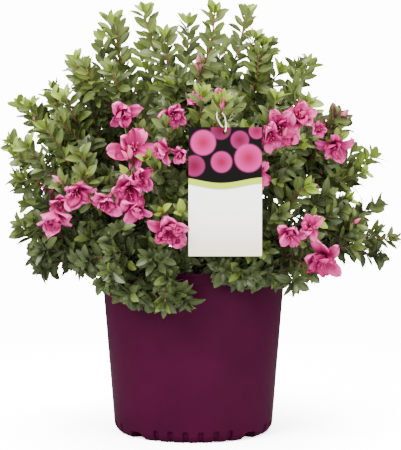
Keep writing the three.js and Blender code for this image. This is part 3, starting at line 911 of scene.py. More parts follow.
SHADED_SKIRT_SHARE = 0.8  # of the old leaves low down, which take the darker skirt tint as painted shade
TWIG_LEAF = {"lean": 55, "sweep": 9, "open": 56, "size": 0.72, "vigour": 0.34, "smaller": 0.12}
TUFT_LEAF = {"lean": 12, "size": 0.8, "vigour": 0.12, "smaller": 0.42}
BRONZE_SHOOTS = ((-10, 234, 491), (112, 224, 500))  # these turn bronze in their outer half
ROSETTE = {"leaves": 8, "heart": 4, "below": 0.29}  # below this height most shoots end in a flat ring
TWIG_RADIUS = 0.0013
TWIG_TAPER = 0.55
TWIG_RISE = {"place": 0.22, "direction": 0.6}  # how far a twig turns upward at its end
SIDE_TWIG = {"lean": (40, 60), "reach": 1.15, "shorter": 0.75, "spread": (0.7, 1.15)}
TWIG_PROBES = (0.35, 0.6, 0.85, 1.0)  # shares of a twig that have to be free
WAND_PROBES = (0.3, 0.6, 0.85, 1.0)
WAND_RADII = (0.0014, 0.0008)
WANDS = {"from": 0.12, "least": 0.03}  # share of a shoot where they start, shortest length
FINER = {"shares": (0.42, 0.66), "from_length": 0.038, "length": 0.45, "radius": 0.7}
SPUR = {"length": 0.055, "spacing": 0.02}
LIT_FROM = 0.4  # shoots that end above this height are in full light
LIGHT = {  # from deep shade to full light, by place in the crown
    "reach": 0.25, "height": 0.4, "outward": 0.5, "upward": 0.75, "spread": 0.22, "steps": 1.9, "shade": 0.32,
}
CLEARANCE = {  # between leaves or twigs and the other pieces; the last is how far they may pass the box
    "wall": 0.0018, "rim": 0.0015, "mouth": 0.006, "mix": 0.003, "tag": 0.003,
    "beside_tie": 0.007, "behind_tie": 0.004, "over_tie": 0.002, "bloom": 0.021, "box": 0.006,
}
OFFSHOOTS = (  # azimuth, reach and height of each tip, its rise, the wand's length and its place in TINTS
    (-121, 81, 602, 82, 70, 1), (-154, 135, 552, 60, 60, 1), (-167, 180, 564, 68, 70, 2),
    (-160, 169, 556, 66, 60, 1), (176, 118, 622, 84, 90, 2), (179, 138, 598, 78, 80, 1),
    (-8, 130, 548, 60, 60, 1), (-24, 98, 600, 80, 80, 1), (-28, 112, 576, 76, 60, 1),
    (-15, 117, 588, 75, 70, 1), (-21, 165, 556, 70, 70, 1), (-44, 187, 364, 20, 60, 0),
    (-43, 221, 383, 25, 70, 1), (-29, 223, 370, 25, 70, 0), (-15, 236, 359, 15, 70, 1),
    (-50, 190, 392, 20, 60, 0), (-46, 200, 414, 30, 60, 0), (-22, 236, 345, 10, 60, 0),
    (-102, 208, 352, 0, 70, 0), (-94, 210, 350, 10, 60, 1), (-54, 210, 346, 10, 60, 0),
    (0, 240, 378, 25, 70, 1), (-36, 215, 335, 5, 60, 0), (-12, 216, 482, 55, 50, 4),
    (-176, 276, 442, 40, 60, 1), (-166, 262, 389, 20, 80, 1), (-172, 250, 350, 15, 60, 1),
    (-145, 204, 266, -30, 70, 0), (-138, 208, 274, -30, 60, 0), (-124, 210, 263, -30, 60, 1),
    (-134, 162, 233, -50, 50, 2), (-127, 160, 222, -60, 50, 0), (-119, 160, 216, -60, 60, 0),
    (-112, 162, 226, -55, 50, 0), (-94, 160, 216, -62, 60, 0), (-69, 166, 262, -30, 45, 1),
    (-52, 176, 258, -30, 50, 0), (-46, 178, 254, -40, 50, 0), (40, 262, 470, 45, 70, 1),
    (60, 236, 505, 55, 70, 1), (96, 240, 470, 50, 70, 1), (128, 262, 430, 35, 70, 1),
    (160, 280, 420, 30, 70, 1), (30, 250, 340, 10, 70, 0), (98, 262, 330, 10, 70, 0),
    (132, 272, 340, 10, 70, 0), (170, 270, 370, 15, 70, 0), (84, 200, 540, 65, 70, 2),
    (142, 214, 540, 62, 70, 1),
)


def tint_name(step, youngest):
    """The tint at a place in TINTS, or the youngest that may be there."""
    return TINTS[int(np.clip(step, DEEP, youngest))]


def axes(along, upper):
    """A frame as columns: x along the form, z its upper face."""
    side = unit(np.cross(upper, along))
    return np.column_stack([along, side, np.cross(along, side)])


def leaf_form(length, width, curl, fold, twist):
    """A blunt oval leaf in two halves, folded at its midrib and curled along its length."""
    shares, spans = zip(*LEAF_ROWS)
    middle = []
    x = z = 0
    for k, share in enumerate(shares):
        if k:
            bend = curl * (share + shares[k - 1]) / 2
            step = (share - shares[k - 1]) * length
            x += step * math.cos(bend)
            z -= step * math.sin(bend)
        middle.append((x, z, curl * share))
    pile = MeshPile()
    for side in (1, -1):
        corners = []
        uvs = []
        for (x, z, bend), share, span in zip(middle, shares, spans):
            half = span * width / 2
            lift = half * math.sin(fold)
            roll = twist * share * side * half
            corners.append((x, 0, z))
            edge = (x + lift * math.sin(bend), side * half * math.cos(fold), z + lift * math.cos(bend) + roll)
            corners.append(edge)
            uvs.extend([(share, 0.5), (share, 0.5 + side * span / 2)])
        faces = []
        for k in range(len(shares) - 1):
            a, b = 2 * k, 2 * k + 2
            quad = [a, b, b + 1, a + 1] if k < len(shares) - 2 else [a, b, a + 1]
            faces.append(quad if side > 0 else quad[::-1])
        pile.add(corners, faces, uvs)
    return pile


def leaf_forms(settings):
    """Leaves flat, curled, cupped and twisted."""
    length, width = settings.leaf_length, settings.leaf_width
    return [leaf_form(length, width * (0.92 + 0.05 * i), *habit) for i, habit in enumerate(LEAF_HABITS)]


def leaf_material(name, colour):
    """A leathery leaf: darker patches, a pale midrib, and a paler underside."""
    shading, tone = mottled(name, colour, scaled(colour, 0.68), 0.36, 45, 500, 0.25, 0.0006)
    shading.set("Specular IOR Level", 0.3)
    from_rib = shading.calculate("ABSOLUTE", shading.calculate("SUBTRACT", shading.surface()["Y"], 0.5))
    rib = shading.ramp(from_rib, 0.02, 0.075, 0.4, 0.0)
    ribbed = shading.mix(rib, tone["Colour"], scaled(colour, 1.6, 0.012))
    underside = shading.add("ShaderNodeNewGeometry").outputs["Backfacing"]
    shading.set("Base Color", shading.mix(underside, ribbed, scaled(colour, 0.95, 0.018)))
    return shading.material


class Growth:
    """Everything that grows from the limbs: wood and leaves, kept apart by tint."""

    def __init__(self, settings):
        self.settings = settings
        self.rng = np.random.default_rng(settings.seed)
        self.woody = MeshPile()
        self.young_wood = MeshPile()
        self.leaves = {tint: [] for tint in TINTS}
        low, high = CAD_BOX
        self.low = np.array(low) - CLEARANCE["box"]
        self.high = np.array(high) + CLEARANCE["box"]

    def is_free(self, points):
        """Whether all the points are clear of pot, mix, tag, tie and blooms, and within the part's box."""
        x, y, height = points.T
        reach = np.hypot(x, y)
        slope = (POT_HIGH.x - POT_BASE_RADIUS) / POT_HIGH.z
        outside = POT_BASE_RADIUS + slope * height + CLEARANCE["wall"]
        in_mouth = (reach < outside - CLEARANCE["mouth"]) & (height > SOIL_TOP + CLEARANCE["mix"])
        in_pot = (height < POT_HIGH.z + CLEARANCE["rim"]) & (reach < outside) & ~in_mouth
        margin = CLEARANCE["tag"]
        before_tag = (x > TAG_LOW.x - margin) & (x < TAG_HIGH.x + margin)
        before_tag &= (height > TAG_LOW.z - margin) & (height < TAG_HIGH.z + margin)
        before_tag &= y < tag_depth(height) + margin
        before_tie = abs(x - TAG_TOP[0]) < CLEARANCE["beside_tie"]
        before_tie &= y < TAG_TOP[1] + CLEARANCE["behind_tie"]
        before_tie &= (height > TAG_HIGH.z - margin) & (height < TIE_TOP + CLEARANCE["over_tie"])
        outside_box = (points < self.low).any(axis=1) | (points > self.high).any(axis=1)
        in_bloom = np.zeros(len(points), bool)
        for flower in BLOOMS:
            distance = np.linalg.norm(points - flower.middle, axis=1)
            in_bloom |= distance < CLEARANCE["bloom"] * flower.size
        return not (in_pot | before_tag | before_tie | outside_box | in_bloom).any()

    def strayed(self, step, share):
        """A place in TINTS, moved by one for a share of leaves."""
        return step + self.rng.choice((-1, 1)) if self.rng.uniform() < share else step

    def leaf(self, root, along, upper, size, tint, facing=1.0):
        """One leaf, if it has room, its upper side turned to the light outside the crown."""
        flat = LEAF_FACING["flat"] if self.rng.uniform() < LEAF_FACING["share"] else (1, 1, 0)
        outward = unit(root * flat + np.array([0, math.copysign(0.1, root[1]), 0]))
        upper = upper * LEAF_FACING["own"] + outward * self.rng.uniform(*LEAF_FACING["outward"]) * facing
        roll = LEAF_FACING["roll"] + LEAF_FACING["more_roll"] * facing
        upper = turned(upper, along, self.rng.normal(0, roll))
        turn = axes(along, upper)
        length = self.settings.leaf_length * size
        half = self.settings.leaf_width * size / 2
        probes = root + np.array([along * length, along * length * 0.6, along * length * 0.3])
        probes = np.vstack([probes, probes[1] + turn[:, 1] * half, probes[1] - turn[:, 1] * half])
        # Most old leaves low down take the darker skirt tint: painted shade.
        if tint in ("deep", "full") and root[2] < ROSETTE["below"] and self.rng.uniform() < SHADED_SKIRT_SHARE:
            tint = "skirt"
        if self.is_free(probes):
            self.leaves[tint].append((root, turn, size, int(self.rng.integers(0, len(LEAF_HABITS)))))

    def leafy(self, path, radius, bare, tint_of, vigour=1.0, tuft=6, open_end=46):
        """Leaves in a spiral along a twig, smaller and steeper towards the tip, and a tuft at the end."""
        rng = self.rng
        usable = path.length * (1 - bare)
        count = max(1, int(usable / self.settings.leaf_spacing))
        spiral = rng.uniform(0, 360)
        for i in range(count + tuft):
            in_tuft = i >= count
            share = 1.0 if in_tuft else bare + (1 - bare) * (i + rng.uniform(-0.2, 0.2)) / count
            tangent = path.tangent(share)
            side = level_side(tangent, 0.97)
            radial = turned(side, tangent, spiral)
            spiral += GOLDEN_ANGLE + rng.uniform(-12, 12)
            if in_tuft:
                rule = TUFT_LEAF
                inner = (i - count) / max(tuft - 1, 1)
                lean = open_end - (open_end - rule["lean"]) * inner + rng.uniform(-7, 7)
                size = rule["size"] + rule["vigour"] * vigour - rule["smaller"] * inner
                size *= rng.uniform(0.88, 1.1)
            else:
                rule = TWIG_LEAF
                opening = (open_end - rule["open"]) * share * (1 - vigour)
                lean = rule["lean"] - rule["sweep"] * vigour * share + opening + rng.uniform(-9, 9)
                size = rule["size"] + rule["vigour"] * vigour - rule["smaller"] * share * vigour
                size *= rng.uniform(0.84, 1.12)
            along, upper = leaned(tangent, radial, lean)
            along = unit(along + UP * rng.uniform(-0.05, 0.12))
            root = path.point(share) + radial * radius * 0.3
            self.leaf(root, along, upper + UP * 0.3, size, tint_of(share, in_tuft))

    def twig(self, foot, away, length, radius, tint, vigour=0.6, bare=0.22, finer=True):
        """A side twig that turns upward, with its leaves and perhaps a finer twig of its own."""
        rng = self.rng
        end = foot + away * length + UP * length * TWIG_RISE["place"]
        path = Path(foot, away, end, unit(away + UP * TWIG_RISE["direction"]))
        if not self.is_free(path.places(TWIG_PROBES)):
            return
        wood = self.young_wood if tint >= FRESH else self.woody
        add_tube(wood, path.places(np.linspace(0, 1, 6)), np.linspace(radius, radius * TWIG_TAPER, 6), 5)
        light_tip = rng.uniform() < 0.1 + 0.15 * tint

        def tint_of(share, in_tuft):
            step = self.strayed(tint + (1 if in_tuft and light_tip else 0), STRAYS["twig"])
            return tint_name(step, YOUNG if in_tuft else FRESH)

        self.leafy(path, radius, bare, tint_of, vigour, tuft=7, open_end=rng.uniform(45, 74))
        if finer and length > FINER["from_length"]:
            length *= FINER["length"]
            radius *= FINER["radius"]
            for share in FINER["shares"]:
                tangent = path.tangent(share)
                away = unit(tangent * 0.7 + aside(tangent, rng.uniform(0, 360)) * 0.8)
                self.twig(path.point(share), away, length, radius, tint, vigour, 0.3, False)

    def side_twigs(self, path, first, last, length, spacing):
        """Side twigs along a limb, by the golden angle."""
        rng = self.rng
        count = int(path.length * (last - first) / spacing)
        for i in range(count):
            share = first + (last - first) * (i + rng.uniform(0, 0.5)) / count
            tangent = path.tangent(share)
            side = aside(tangent, i * GOLDEN_ANGLE + rng.uniform(0, 50))
            away, _ = leaned(tangent, side, rng.uniform(*SIDE_TWIG["lean"]))
            foot = path.point(share)
            reach = length * (SIDE_TWIG["reach"] - SIDE_TWIG["shorter"] * share)
            reach *= rng.uniform(*SIDE_TWIG["spread"])
            self.twig(foot, away, reach, TWIG_RADIUS, self.spray_tint(foot))

    def spray_tint(self, place):
        """Darker inside and low down, partly older leaves and partly painted shade; fresher towards the
        light.
        """
        outward = np.hypot(place[0], place[1]) / LIGHT["reach"]
        upward = (place[2] - POT_HIGH.z) / LIGHT["height"]
        light = LIGHT["outward"] * outward + LIGHT["upward"] * upward + self.rng.normal(0, LIGHT["spread"])
        return int(np.clip(light * LIGHT["steps"] - LIGHT["shade"], DEEP, FRESH))

    def shoot(self, stem):
        """The stem of one mass, its side twigs, and its own leaves out to the tip."""
        rng = self.rng
        foot, tip = STEM_RADII
        shares = np.linspace(0, 1, 22)
        points = stem.path.places(shares)
        radii = np.array([(foot + (tip - foot) * share) * MM for share in shares])
        add_tube(self.woody, points[:14], radii[:14], 8)
        add_tube(self.young_wood, points[13:], radii[13:], 8)
        twigs = stem.tier.twigs_from, stem.tier.twigs_to
        self.side_twigs(stem.path, *twigs, self.settings.twig_length, self.settings.twig_spacing)
        lit = stem.tip[2] > LIT_FROM
        young_tip = rng.uniform() < YOUNG_TIPS["lit" if lit else "shaded"]

        def tint_of(share, in_tuft):
            step = FULL if share < 0.8 else FRESH
            # Shoots that end in shade take a tint one step darker: painted shade.
            step = self.strayed(step if lit else step - 1, STRAYS["shoot"])
            if stem.shoot in BRONZE_SHOOTS and share > 0.45:
                step = BRONZE if rng.uniform() < 0.7 else FRESH
            elif in_tuft and young_tip:
                step = YOUNG
            return tint_name(step, BRONZE)

        self.leafy(stem.path, foot * MM, 0.2, tint_of, vigour=1.0, tuft=8, open_end=45)

    def rosette(self, path, tint):
        """A flat ring of full leaves round the end of a shoot, with a few small ones in its heart."""
        rng = self.rng
        tangent = path.tangent(1.0)
        first = aside(tangent, rng.uniform(0, 360))
        heart = tint + 1 if rng.uniform() < 0.4 else tint
        for k in range(ROSETTE["leaves"] + ROSETTE["heart"]):
            inner = k >= ROSETTE["leaves"]
            radial = turned(first, tangent, k * GOLDEN_ANGLE)
            along, upper = leaned(tangent, radial, rng.uniform(25, 42) if inner else rng.uniform(62, 88))
            size = rng.uniform(0.45, 0.65) if inner else rng.uniform(0.86, 1.14)
            root = path.point(1.0 if inner else 0.97 - 0.01 * k)
            tone = tint_name(heart if inner else tint, FRESH)
            self.leaf(root, along, upper, size, tone, facing=0.25)

    def wand(self, foot, away, end, end_direction, tint, ends_flat=False):
        """A young shoot, leafy all along, that forks from an older one."""
        rng = self.rng
        path = Path(foot, away, end, end_direction)
        if not self.is_free(path.places(WAND_PROBES)):
            return
        wood = self.woody if tint == DEEP else self.young_wood
        add_tube(wood, path.places(np.linspace(0, 1, 9)), np.linspace(*WAND_RADII, 9), 6)
        young_tip = rng.uniform() < 0.08 + 0.38 * tint

        def tint_of(share, in_tuft):
            if tint == BRONZE:
                return "bronze" if share > 0.35 and rng.uniform() < 0.8 else "full"
            step = tint + (1 if share > 0.9 and rng.uniform() < 0.5 else 0)
            step = self.strayed(step, STRAYS["wand"])
            if in_tuft and young_tip:
                step = YOUNG
            return tint_name(step, YOUNG if in_tuft else FRESH)

        if ends_flat:
            self.leafy(path, TWIG_RADIUS, 0.1, tint_of, vigour=0.7, tuft=0)
            self.rosette(path, tint)
        else:
            open_end = rng.uniform(32, 50)
            self.leafy(path, TWIG_RADIUS, 0.1, tint_of, vigour=0.85, tuft=7, open_end=open_end)

    def wands(self, stem):
        """The wands that fork from a stem, each leaning a little away from it."""
        rng = self.rng
        tier = stem.tier
        first = WANDS["from"]
        for k in range(tier.wands):
            share = first + (tier.wands_to - first) * (k + rng.uniform(0, 0.6)) / tier.wands
            tangent = stem.path.tangent(share)
            side = aside(tangent, k * GOLDEN_ANGLE + rng.uniform(-25, 25))
            away = unit(tangent + side * rng.uniform(0.55, 0.85))
            length = min(tier.wand_length * MM, stem.path.length * (1 - share) * rng.uniform(0.78, 1.0))
            if length < WANDS["least"]:
                continue
            end_direction = unit(stem.path.tangent(1.0) + side * rng.uniform(0.15, 0.45) + UP * 0.15)
            foot = stem.path.point(share)
            end = foot + (away + end_direction) * length / 2
            ends_flat = end[2] < ROSETTE["below"] and rng.uniform() < 0.7
            self.wand(foot, away, end, end_direction, self.spray_tint(end), ends_flat)

    def offshoots(self):
        """The wands that fill out single places of the crown, each from the nearest stem."""
        for azimuth, reach, height, rise, length, tint in OFFSHOOTS:
            tip = polar(azimuth, reach, height) * MM
            end_direction = heading(azimuth, rise)
            foot = nearest_stem(tip - end_direction * length * MM)
            away = unit(unit(tip - foot) + heading(azimuth, 40) * 0.5)
            self.wand(foot, away, tip, end_direction, tint, tip[2] < ROSETTE["below"])

    def inner_spurs(self, bough):
        """Short leafy spurs that fill the crown near the trunk."""
        self.side_twigs(bough.path, 0.35, 1.0, SPUR["length"], SPUR["spacing"])


def make_foliage(settings):
    """Twigs and leaves that grow on from the limbs."""
    growth = Growth(settings)
    for stem in STEMS:
        growth.shoot(stem)
        growth.wands(stem)
    for _, bough in BOUGHS:
        growth.inner_spurs(bough)
    growth.offshoots()
    woody = plain_finish("woody_twig", (0.14, 0.065, 0.035), (0.06, 0.03, 0.018), 0.8, 90, 700, 0.3, 0.0006)
    young = plain_finish("young_twig", (0.20, 0.06, 0.026), (0.13, 0.065, 0.024), 0.55, 40, 700, 0.2, 0.0004)
    finish_piece(growth.woody.piece("twigs_woody", woody), "bark", *FOLIAGE_NODES)
    finish_piece(growth.young_wood.piece("twigs_young", young), "bark", *FOLIAGE_NODES)
    forms = form_collection("leaf_form", leaf_forms(settings))
    for tint in TINTS:
        material = leaf_material(f"leaf_{tint}", tuple(getattr(settings, tint)))
        piece = scatter(f"leaves_{tint}", growth.leaves[tint], forms, material)
        finish_piece(piece, "foliage", *FOLIAGE_NODES)
    remove_forms(forms)


# ---- blooms ----


class Bloom(NamedTuple):
    """One bloom: its middle, the way it faces, how far it is open in degrees, and its size."""

    middle: np.ndarray
    facing: np.ndarray
    open: float
    size: float
    inner: int  # petals of the inner whorl

    def back(self, length):
        """Where its petals and stalk meet, for petals of a length."""
        return self.middle - self.facing * 0.4 * length * self.size


def bloom(azimuth, reach, height, turn, rise, opened, size=1.0, inner=5):
    """A bloom whose facing is turned from straight outward."""
    return Bloom(polar(azimuth, reach, height) * MM, heading(azimuth + turn, rise), opened, size, inner)


BLOOMS = (
    bloom(-124, 180, 492, 50, -15, 44, 1.0, 4),
    bloom(-116, 192, 441, 28, 12, 68, 1.08, 3),
    bloom(-112, 206, 402, 36, -12, 46, 0.85, 4),
    bloom(-114, 224, 384, 22, -28, 46, 1.08, 6),
    bloom(-121, 234, 369, 4, -44, 42, 1.0, 5),
    bloom(-111, 228, 362, 26, -58, 40, 0.95, 5),
    bloom(-138, 228, 378, 44, -14, 44, 1.02, 4),
    bloom(-145, 232, 358, 24, -10, 50, 0.8, 3),
    bloom(-144, 250, 343, 30, -54, 40, 1.12, 6),
    bloom(-99, 215, 330, 16, -34, 54, 1.14, 12),
    bloom(-100, 156, 489, 16, -8, 46, 0.78, 3),
    bloom(-88, 128, 507, -25, 50, 40, 0.55, 2),
    bloom(-102, 196, 440, -48, -8, 42, 0.72, 3),
    bloom(-95, 186, 434, -30, -20, 40, 0.55, 2),
    bloom(-74, 140, 512, 0, 50, 46, 0.55, 3),
    bloom(-50, 198, 469, -32, -6, 50, 1.05, 6),
    bloom(-56, 196, 460, -20, -20, 48, 0.8, 3),
    bloom(-42, 208, 486, -40, 38, 52, 0.92, 4),
    bloom(-31, 214, 466, -50, 10, 40, 0.5, 2),
    bloom(-24, 230, 441, -60, -34, 46, 0.9, 3),
    bloom(-62, 190, 402, -5, -10, 52, 0.85, 3),
    bloom(-54, 236, 320, -30, -16, 46, 0.75, 3),
    bloom(-47, 244, 329, -40, 16, 46, 0.72, 2),
    bloom(-41, 250, 281, -52, -34, 52, 1.14, 5),
    bloom(38, 262, 380, 0, 20, 58, 1.0, 4),
    bloom(46, 256, 398, 10, 50, 46, 0.8, 3),
    bloom(62, 246, 430, 10, 25, 60),
    bloom(88, 238, 370, -10, 15, 62),
    bloom(95, 240, 392, 20, 40, 50, 0.85, 3),
    bloom(120, 246, 440, 0, 30, 60),
    bloom(148, 262, 360, 10, 10, 62),
    bloom(70, 215, 500, 0, 40, 60, 0.95, 4),
)


class BloomSettings(bpy.types.PropertyGroup):
    """Sizes and colours of the blooms."""

    petal_length: FloatProperty(
        name="Petal Length", description="Of an outer petal", default=0.0366, subtype="DISTANCE"
    )
    petal_width: FloatProperty(
        name="Petal Width", description="Of an outer petal", default=0.0222, subtype="DISTANCE"
    )
    petals: IntProperty(name="Petals", description="In the outer whorl", default=5, min=3)
    ruffle: FloatProperty(
        name="Ruffle", description="Depth of the waves at the rim", default=0.0036, subtype="DISTANCE"
    )
    colour: FloatVectorProperty(
        name="Colour", description="Of the petals", default=(0.46, 0.016, 0.152), subtype="COLOR"
    )
    pale: FloatVectorProperty(
        name="Rim Colour", description="Of the petals' rims", default=(0.79, 0.115, 0.385), subtype="COLOR"
    )
    throat: FloatVectorProperty(
        name="Throat Colour", description="Deep in the bloom", default=(0.175, 0.0015, 0.036), subtype="COLOR"
    )


def petal_material(name, colour, pale, throat):
    """A soft petal: deep at the throat, pale at the rim, faintly mottled."""
    shading, tone = mottled(name, colour, scaled(colour, 0.86), 0.55, 60, 420, 0.2, 0.0008)
    along = shading.surface()["X"]
    paler = shading.mix(shading.ramp(along, 0.55, 1.0, 0.0, 0.75), tone["Colour"], pale)
    deeper = shading.mix(shading.ramp(along, 0.08, 0.5, 0.9, 0.0), paler, throat)
    shading.set("Base Color", deeper)
    shading.set("Specular IOR Level", 0.25)
    return shading.material


PETAL_ROWS = (0, 0.1, 0.22, 0.35, 0.48, 0.61, 0.73, 0.84, 0.92, 0.97, 1)
PETAL_COLUMNS = 11
PETAL_WIDEST = 0.66  # this and the next three are shares of a petal's length
PETAL_THROAT = 0.02
PETAL_OPEN = 0.42
PETAL_CURLS_FROM = 0.5
PETAL_CUP = 0.62
PETAL_FOOT = 0.0016  # from the bloom's axis
PETAL_HABIT = {  # each petal draws its own within these, in this order
    "waves": (1.6, 2.6), "curl": (-25, 75), "sway": (-0.3, 0.3), "roll": (-0.55, 0.55),
    "point": (-0.05, 0.16), "crease": (0.1, 0.45),
}
WHORL_SPREAD = {"turn": (-9, 9), "open": (-24, 22), "size": (0.8, 1.14)}
INNER_WHORL = {"length": 0.85, "width": 0.82, "open": 0.68, "ruffle": 1.4, "turn": 30}


def petal_width_share(u):
    """A petal's width at a share of its length: a narrow claw, widest at two thirds, round at the tip."""
    if u < PETAL_WIDEST:
        rise = u / PETAL_WIDEST
        return 0.2 + 0.8 * rise * rise * (3 - 2 * rise)
    return math.sqrt(max(0.02, 1 - ((u - PETAL_WIDEST) / (1 - PETAL_WIDEST)) ** 2.4))


def add_petal(pile, centre, facing, radial, length, width, opened, ruffle, rng):
    """One petal: up the throat, out at its opening angle, creased, curled and ruffled at the rim."""
    side = np.cross(facing, radial)
    phases = rng.uniform(0, 2 * math.pi, 2)
    waves, curl, sway, roll, point, crease = (rng.uniform(*span) for span in PETAL_HABIT.values())
    out = rise = 0.0
    corners = []
    uvs = []
    for row, u in enumerate(PETAL_ROWS):
        tilt = opened * min(1, max(0, (u - PETAL_THROAT) / PETAL_OPEN))
        tilt += math.radians(curl) * max(0, (u - PETAL_CURLS_FROM) / (1 - PETAL_CURLS_FROM)) ** 1.4
        if row:
            step = (u - PETAL_ROWS[row - 1]) * length
            out += math.sin(tilt) * step
            rise += math.cos(tilt) * step
        half = width / 2 * petal_width_share(u)
        back = radial * math.cos(tilt) - facing * math.sin(tilt)
        along = radial * math.sin(tilt) + facing * math.cos(tilt)
        for column in range(PETAL_COLUMNS):
            v = 2 * column / (PETAL_COLUMNS - 1) - 1
            cup = -(abs(v) ** 1.7) * half * (PETAL_CUP - PETAL_CUP * u) - abs(v) * half * crease * u
            wave = math.sin(math.pi * waves * v + phases[0]) * (0.25 + 0.75 * abs(v))
            wave += 0.4 * math.sin(math.pi * 2.3 * waves * v + phases[1])
            lean = roll * v * half * u
            tip = along * length * u**3 * (point * (0.5 - abs(v) ** 1.5) + 0.02 * math.sin(9 * v + phases[1]))
            place = centre + radial * (out + PETAL_FOOT) + facing * rise + tip
            place = place + side * (half * v + sway * out * u) + back * (cup + ruffle * u**1.6 * wave + lean)
            corners.append(place)
            uvs.append((u, (v + 1) / 2))
    pile.add(corners, grid_faces(len(PETAL_ROWS), PETAL_COLUMNS, closed=False), uvs)


def add_whorl(pile, flower, count, length, width, opened, ruffle, offset, rng):
    """A ring of petals round a bloom's axis."""
    facing = flower.facing
    first = level_side(facing, 0.9)
    centre = flower.back(length)
    for k in range(count):
        radial = turned(first, facing, offset + 360 * k / count + rng.uniform(*WHORL_SPREAD["turn"]))
        angle = math.radians(opened + rng.uniform(*WHORL_SPREAD["open"]))
        size = flower.size * rng.uniform(*WHORL_SPREAD["size"])
        add_petal(pile, centre, facing, radial, length * size, width * size, angle, ruffle, rng)


def nearest_stem(place):
    """The point of any stem that is nearest to a place."""
    points = np.vstack([stem.path.points[4:44] for stem in STEMS])
    return points[np.argmin(np.linalg.norm(points - place, axis=1))]


def add_bud(pile, foot, direction, length, rng):
    """A pointed bud, fattest below its middle and faintly twisted."""
    shares = np.linspace(0, 1, 9)
    bow = unit(np.cross(direction, rng.normal(0, 1, 3))) * length * 0.08
    points = np.array([foot + direction * length * s + bow * math.sin(math.pi * s) for s in shares])
    radii = [length * 0.17 * math.sin(math.pi * (0.06 + 0.92 * s**0.8)) ** 0.9 for s in shares]
    add_tube(pile, points, radii, 8, lambda angle, along: 0.08 * math.sin(3 * angle + along * 260))


BUDS = (  # azimuth, reach and height near which each bud sits on a stem, and the rise of its tip
    (-71, 190, 512, 70), (-66, 195, 505, 55), (-118, 175, 512, 68), (-93, 150, 514, 66),
    (-106, 178, 452, 75), (-20, 215, 470, 60), (-131, 210, 452, 50), (-55, 225, 512, 60),
    (30, 232, 452, 60), (75, 214, 430, 58), (132, 225, 470, 62), (165, 240, 420, 50),
    (-152, 238, 410, 45), (-34, 236, 352, 30),
)


def make_blooms(settings):
    """Ruffled double blooms, their stalks and stamens, and pointed buds."""
    rng = np.random.default_rng(23)
    outer, inner, threads, stalks, buds = (MeshPile() for _ in range(5))
    length, width, ruffle = settings.petal_length, settings.petal_width, settings.ruffle
    for flower in BLOOMS:
        offset = rng.uniform(0, 360)
        outer_sizes = {"length": length, "width": width, "open": flower.open, "ruffle": ruffle}
        add_whorl(outer, flower, settings.petals, *outer_sizes.values(), offset, rng)
        sizes = [size * INNER_WHORL[name] for name, size in outer_sizes.items()]
        add_whorl(inner, flower, flower.inner, *sizes, offset + INNER_WHORL["turn"], rng)
        add_stamens(threads, flower, length, rng)
        back = flower.back(length)
        add_stalk(stalks, nearest_stem(back), back, flower.facing)
    for azimuth, reach, height, rise in BUDS:
        direction = heading(azimuth + rng.uniform(-20, 20), rise)
        joint = nearest_stem(polar(azimuth, reach, height) * MM)
        foot = joint + unit(direction + heading(azimuth, 0)) * 0.014
        add_bud(buds, foot, direction, rng.uniform(0.019, 0.027), rng)
        add_stalk(stalks, joint, foot, direction)
    colour, pale, throat = (tuple(getattr(settings, name)) for name in ("colour", "pale", "throat"))
    rich = tuple(0.72 * a + 0.28 * b for a, b in zip(colour, throat))
    thread = ((0.62, 0.1, 0.24), (0.5, 0.05, 0.16), 0.5, 60, 600, 0.1, 0.0003)
    stalk = ((0.085, 0.085, 0.026), (0.09, 0.04, 0.018), 0.6, 60, 600, 0.2, 0.0004)
    bud = ((0.62, 0.09, 0.23), (0.50, 0.055, 0.16), 0.5, 70, 500, 0.25, 0.0006)
    for name, pile, material in (
        ("petals_outer", outer, petal_material("petal_outer", colour, pale, throat)),
        ("petals_inner", inner, petal_material("petal_inner", rich, colour, throat)),
        ("stamens", threads, plain_finish("stamen", *thread)),
        ("bloom_stalks", stalks, plain_finish("bloom_stalk", *stalk)),
        ("flower_buds", buds, plain_finish("bud", *bud)),
    ):
        finish_piece(pile.piece(name, material), "foliage", *FOLIAGE_NODES)


STALK = {"radius": 0.0011, "cup_from": 0.85, "flare": 0.01}


def add_stalk(pile, foot, top, facing):
    """A slender stalk from the stem to the back of a bloom, with a small flared cup."""
    reach = np.linalg.norm(top - foot)
    path = Path(foot, unit(top - foot), top + facing * 0.002, facing, min(0.36, 0.012 / max(reach, 0.02)))
    shares = np.linspace(0, 1, 9)
    radii = [STALK["radius"] + max(0, share - STALK["cup_from"]) * STALK["flare"] for share in shares]
    add_tube(pile, path.places(shares), radii, 6)


STAMEN_RADII = (0.0005, 0.0004, 0.0004, 0.0004, 0.0009, 0.0007)


def add_stamens(pile, flower, length, rng):
    """Thin filaments that stand out of the throat."""
    facing = flower.facing
    centre = flower.back(length)
    for k in range(6):
        radial = aside(facing, 60 * k + rng.uniform(-20, 20))
        reach = length * rng.uniform(0.6, 0.85) * flower.size
        tip = centre + facing * reach + radial * reach * rng.uniform(0.12, 0.32)
        path = Path(centre, facing, tip, unit(facing + radial * 0.8))
        add_tube(pile, path.places((0, 0.35, 0.7, 0.93, 0.96, 1)), STAMEN_RADII, 5)


# ---- tag ----


TAG_LEAN = 6
TAG_TOP = np.array([46, -199, 473]) * MM
TIE = {"share": 0.9, "gap": 0.0045, "radius": 0.0009}  # where on its stem, half its width and thickness
TIE_STEM = min(STEMS, key=lambda stem: np.linalg.norm(stem.tip - TAG_TOP))
TIE_TOP = TIE_STEM.path.point(TIE["share"])[2]
TAG_DOWN = np.array([0, -math.sin(math.radians(TAG_LEAN)), -math.cos(math.radians(TAG_LEAN))])
TAG_OUT = np.array([0, -math.cos(math.radians(TAG_LEAN)), math.sin(math.radians(TAG_LEAN))])


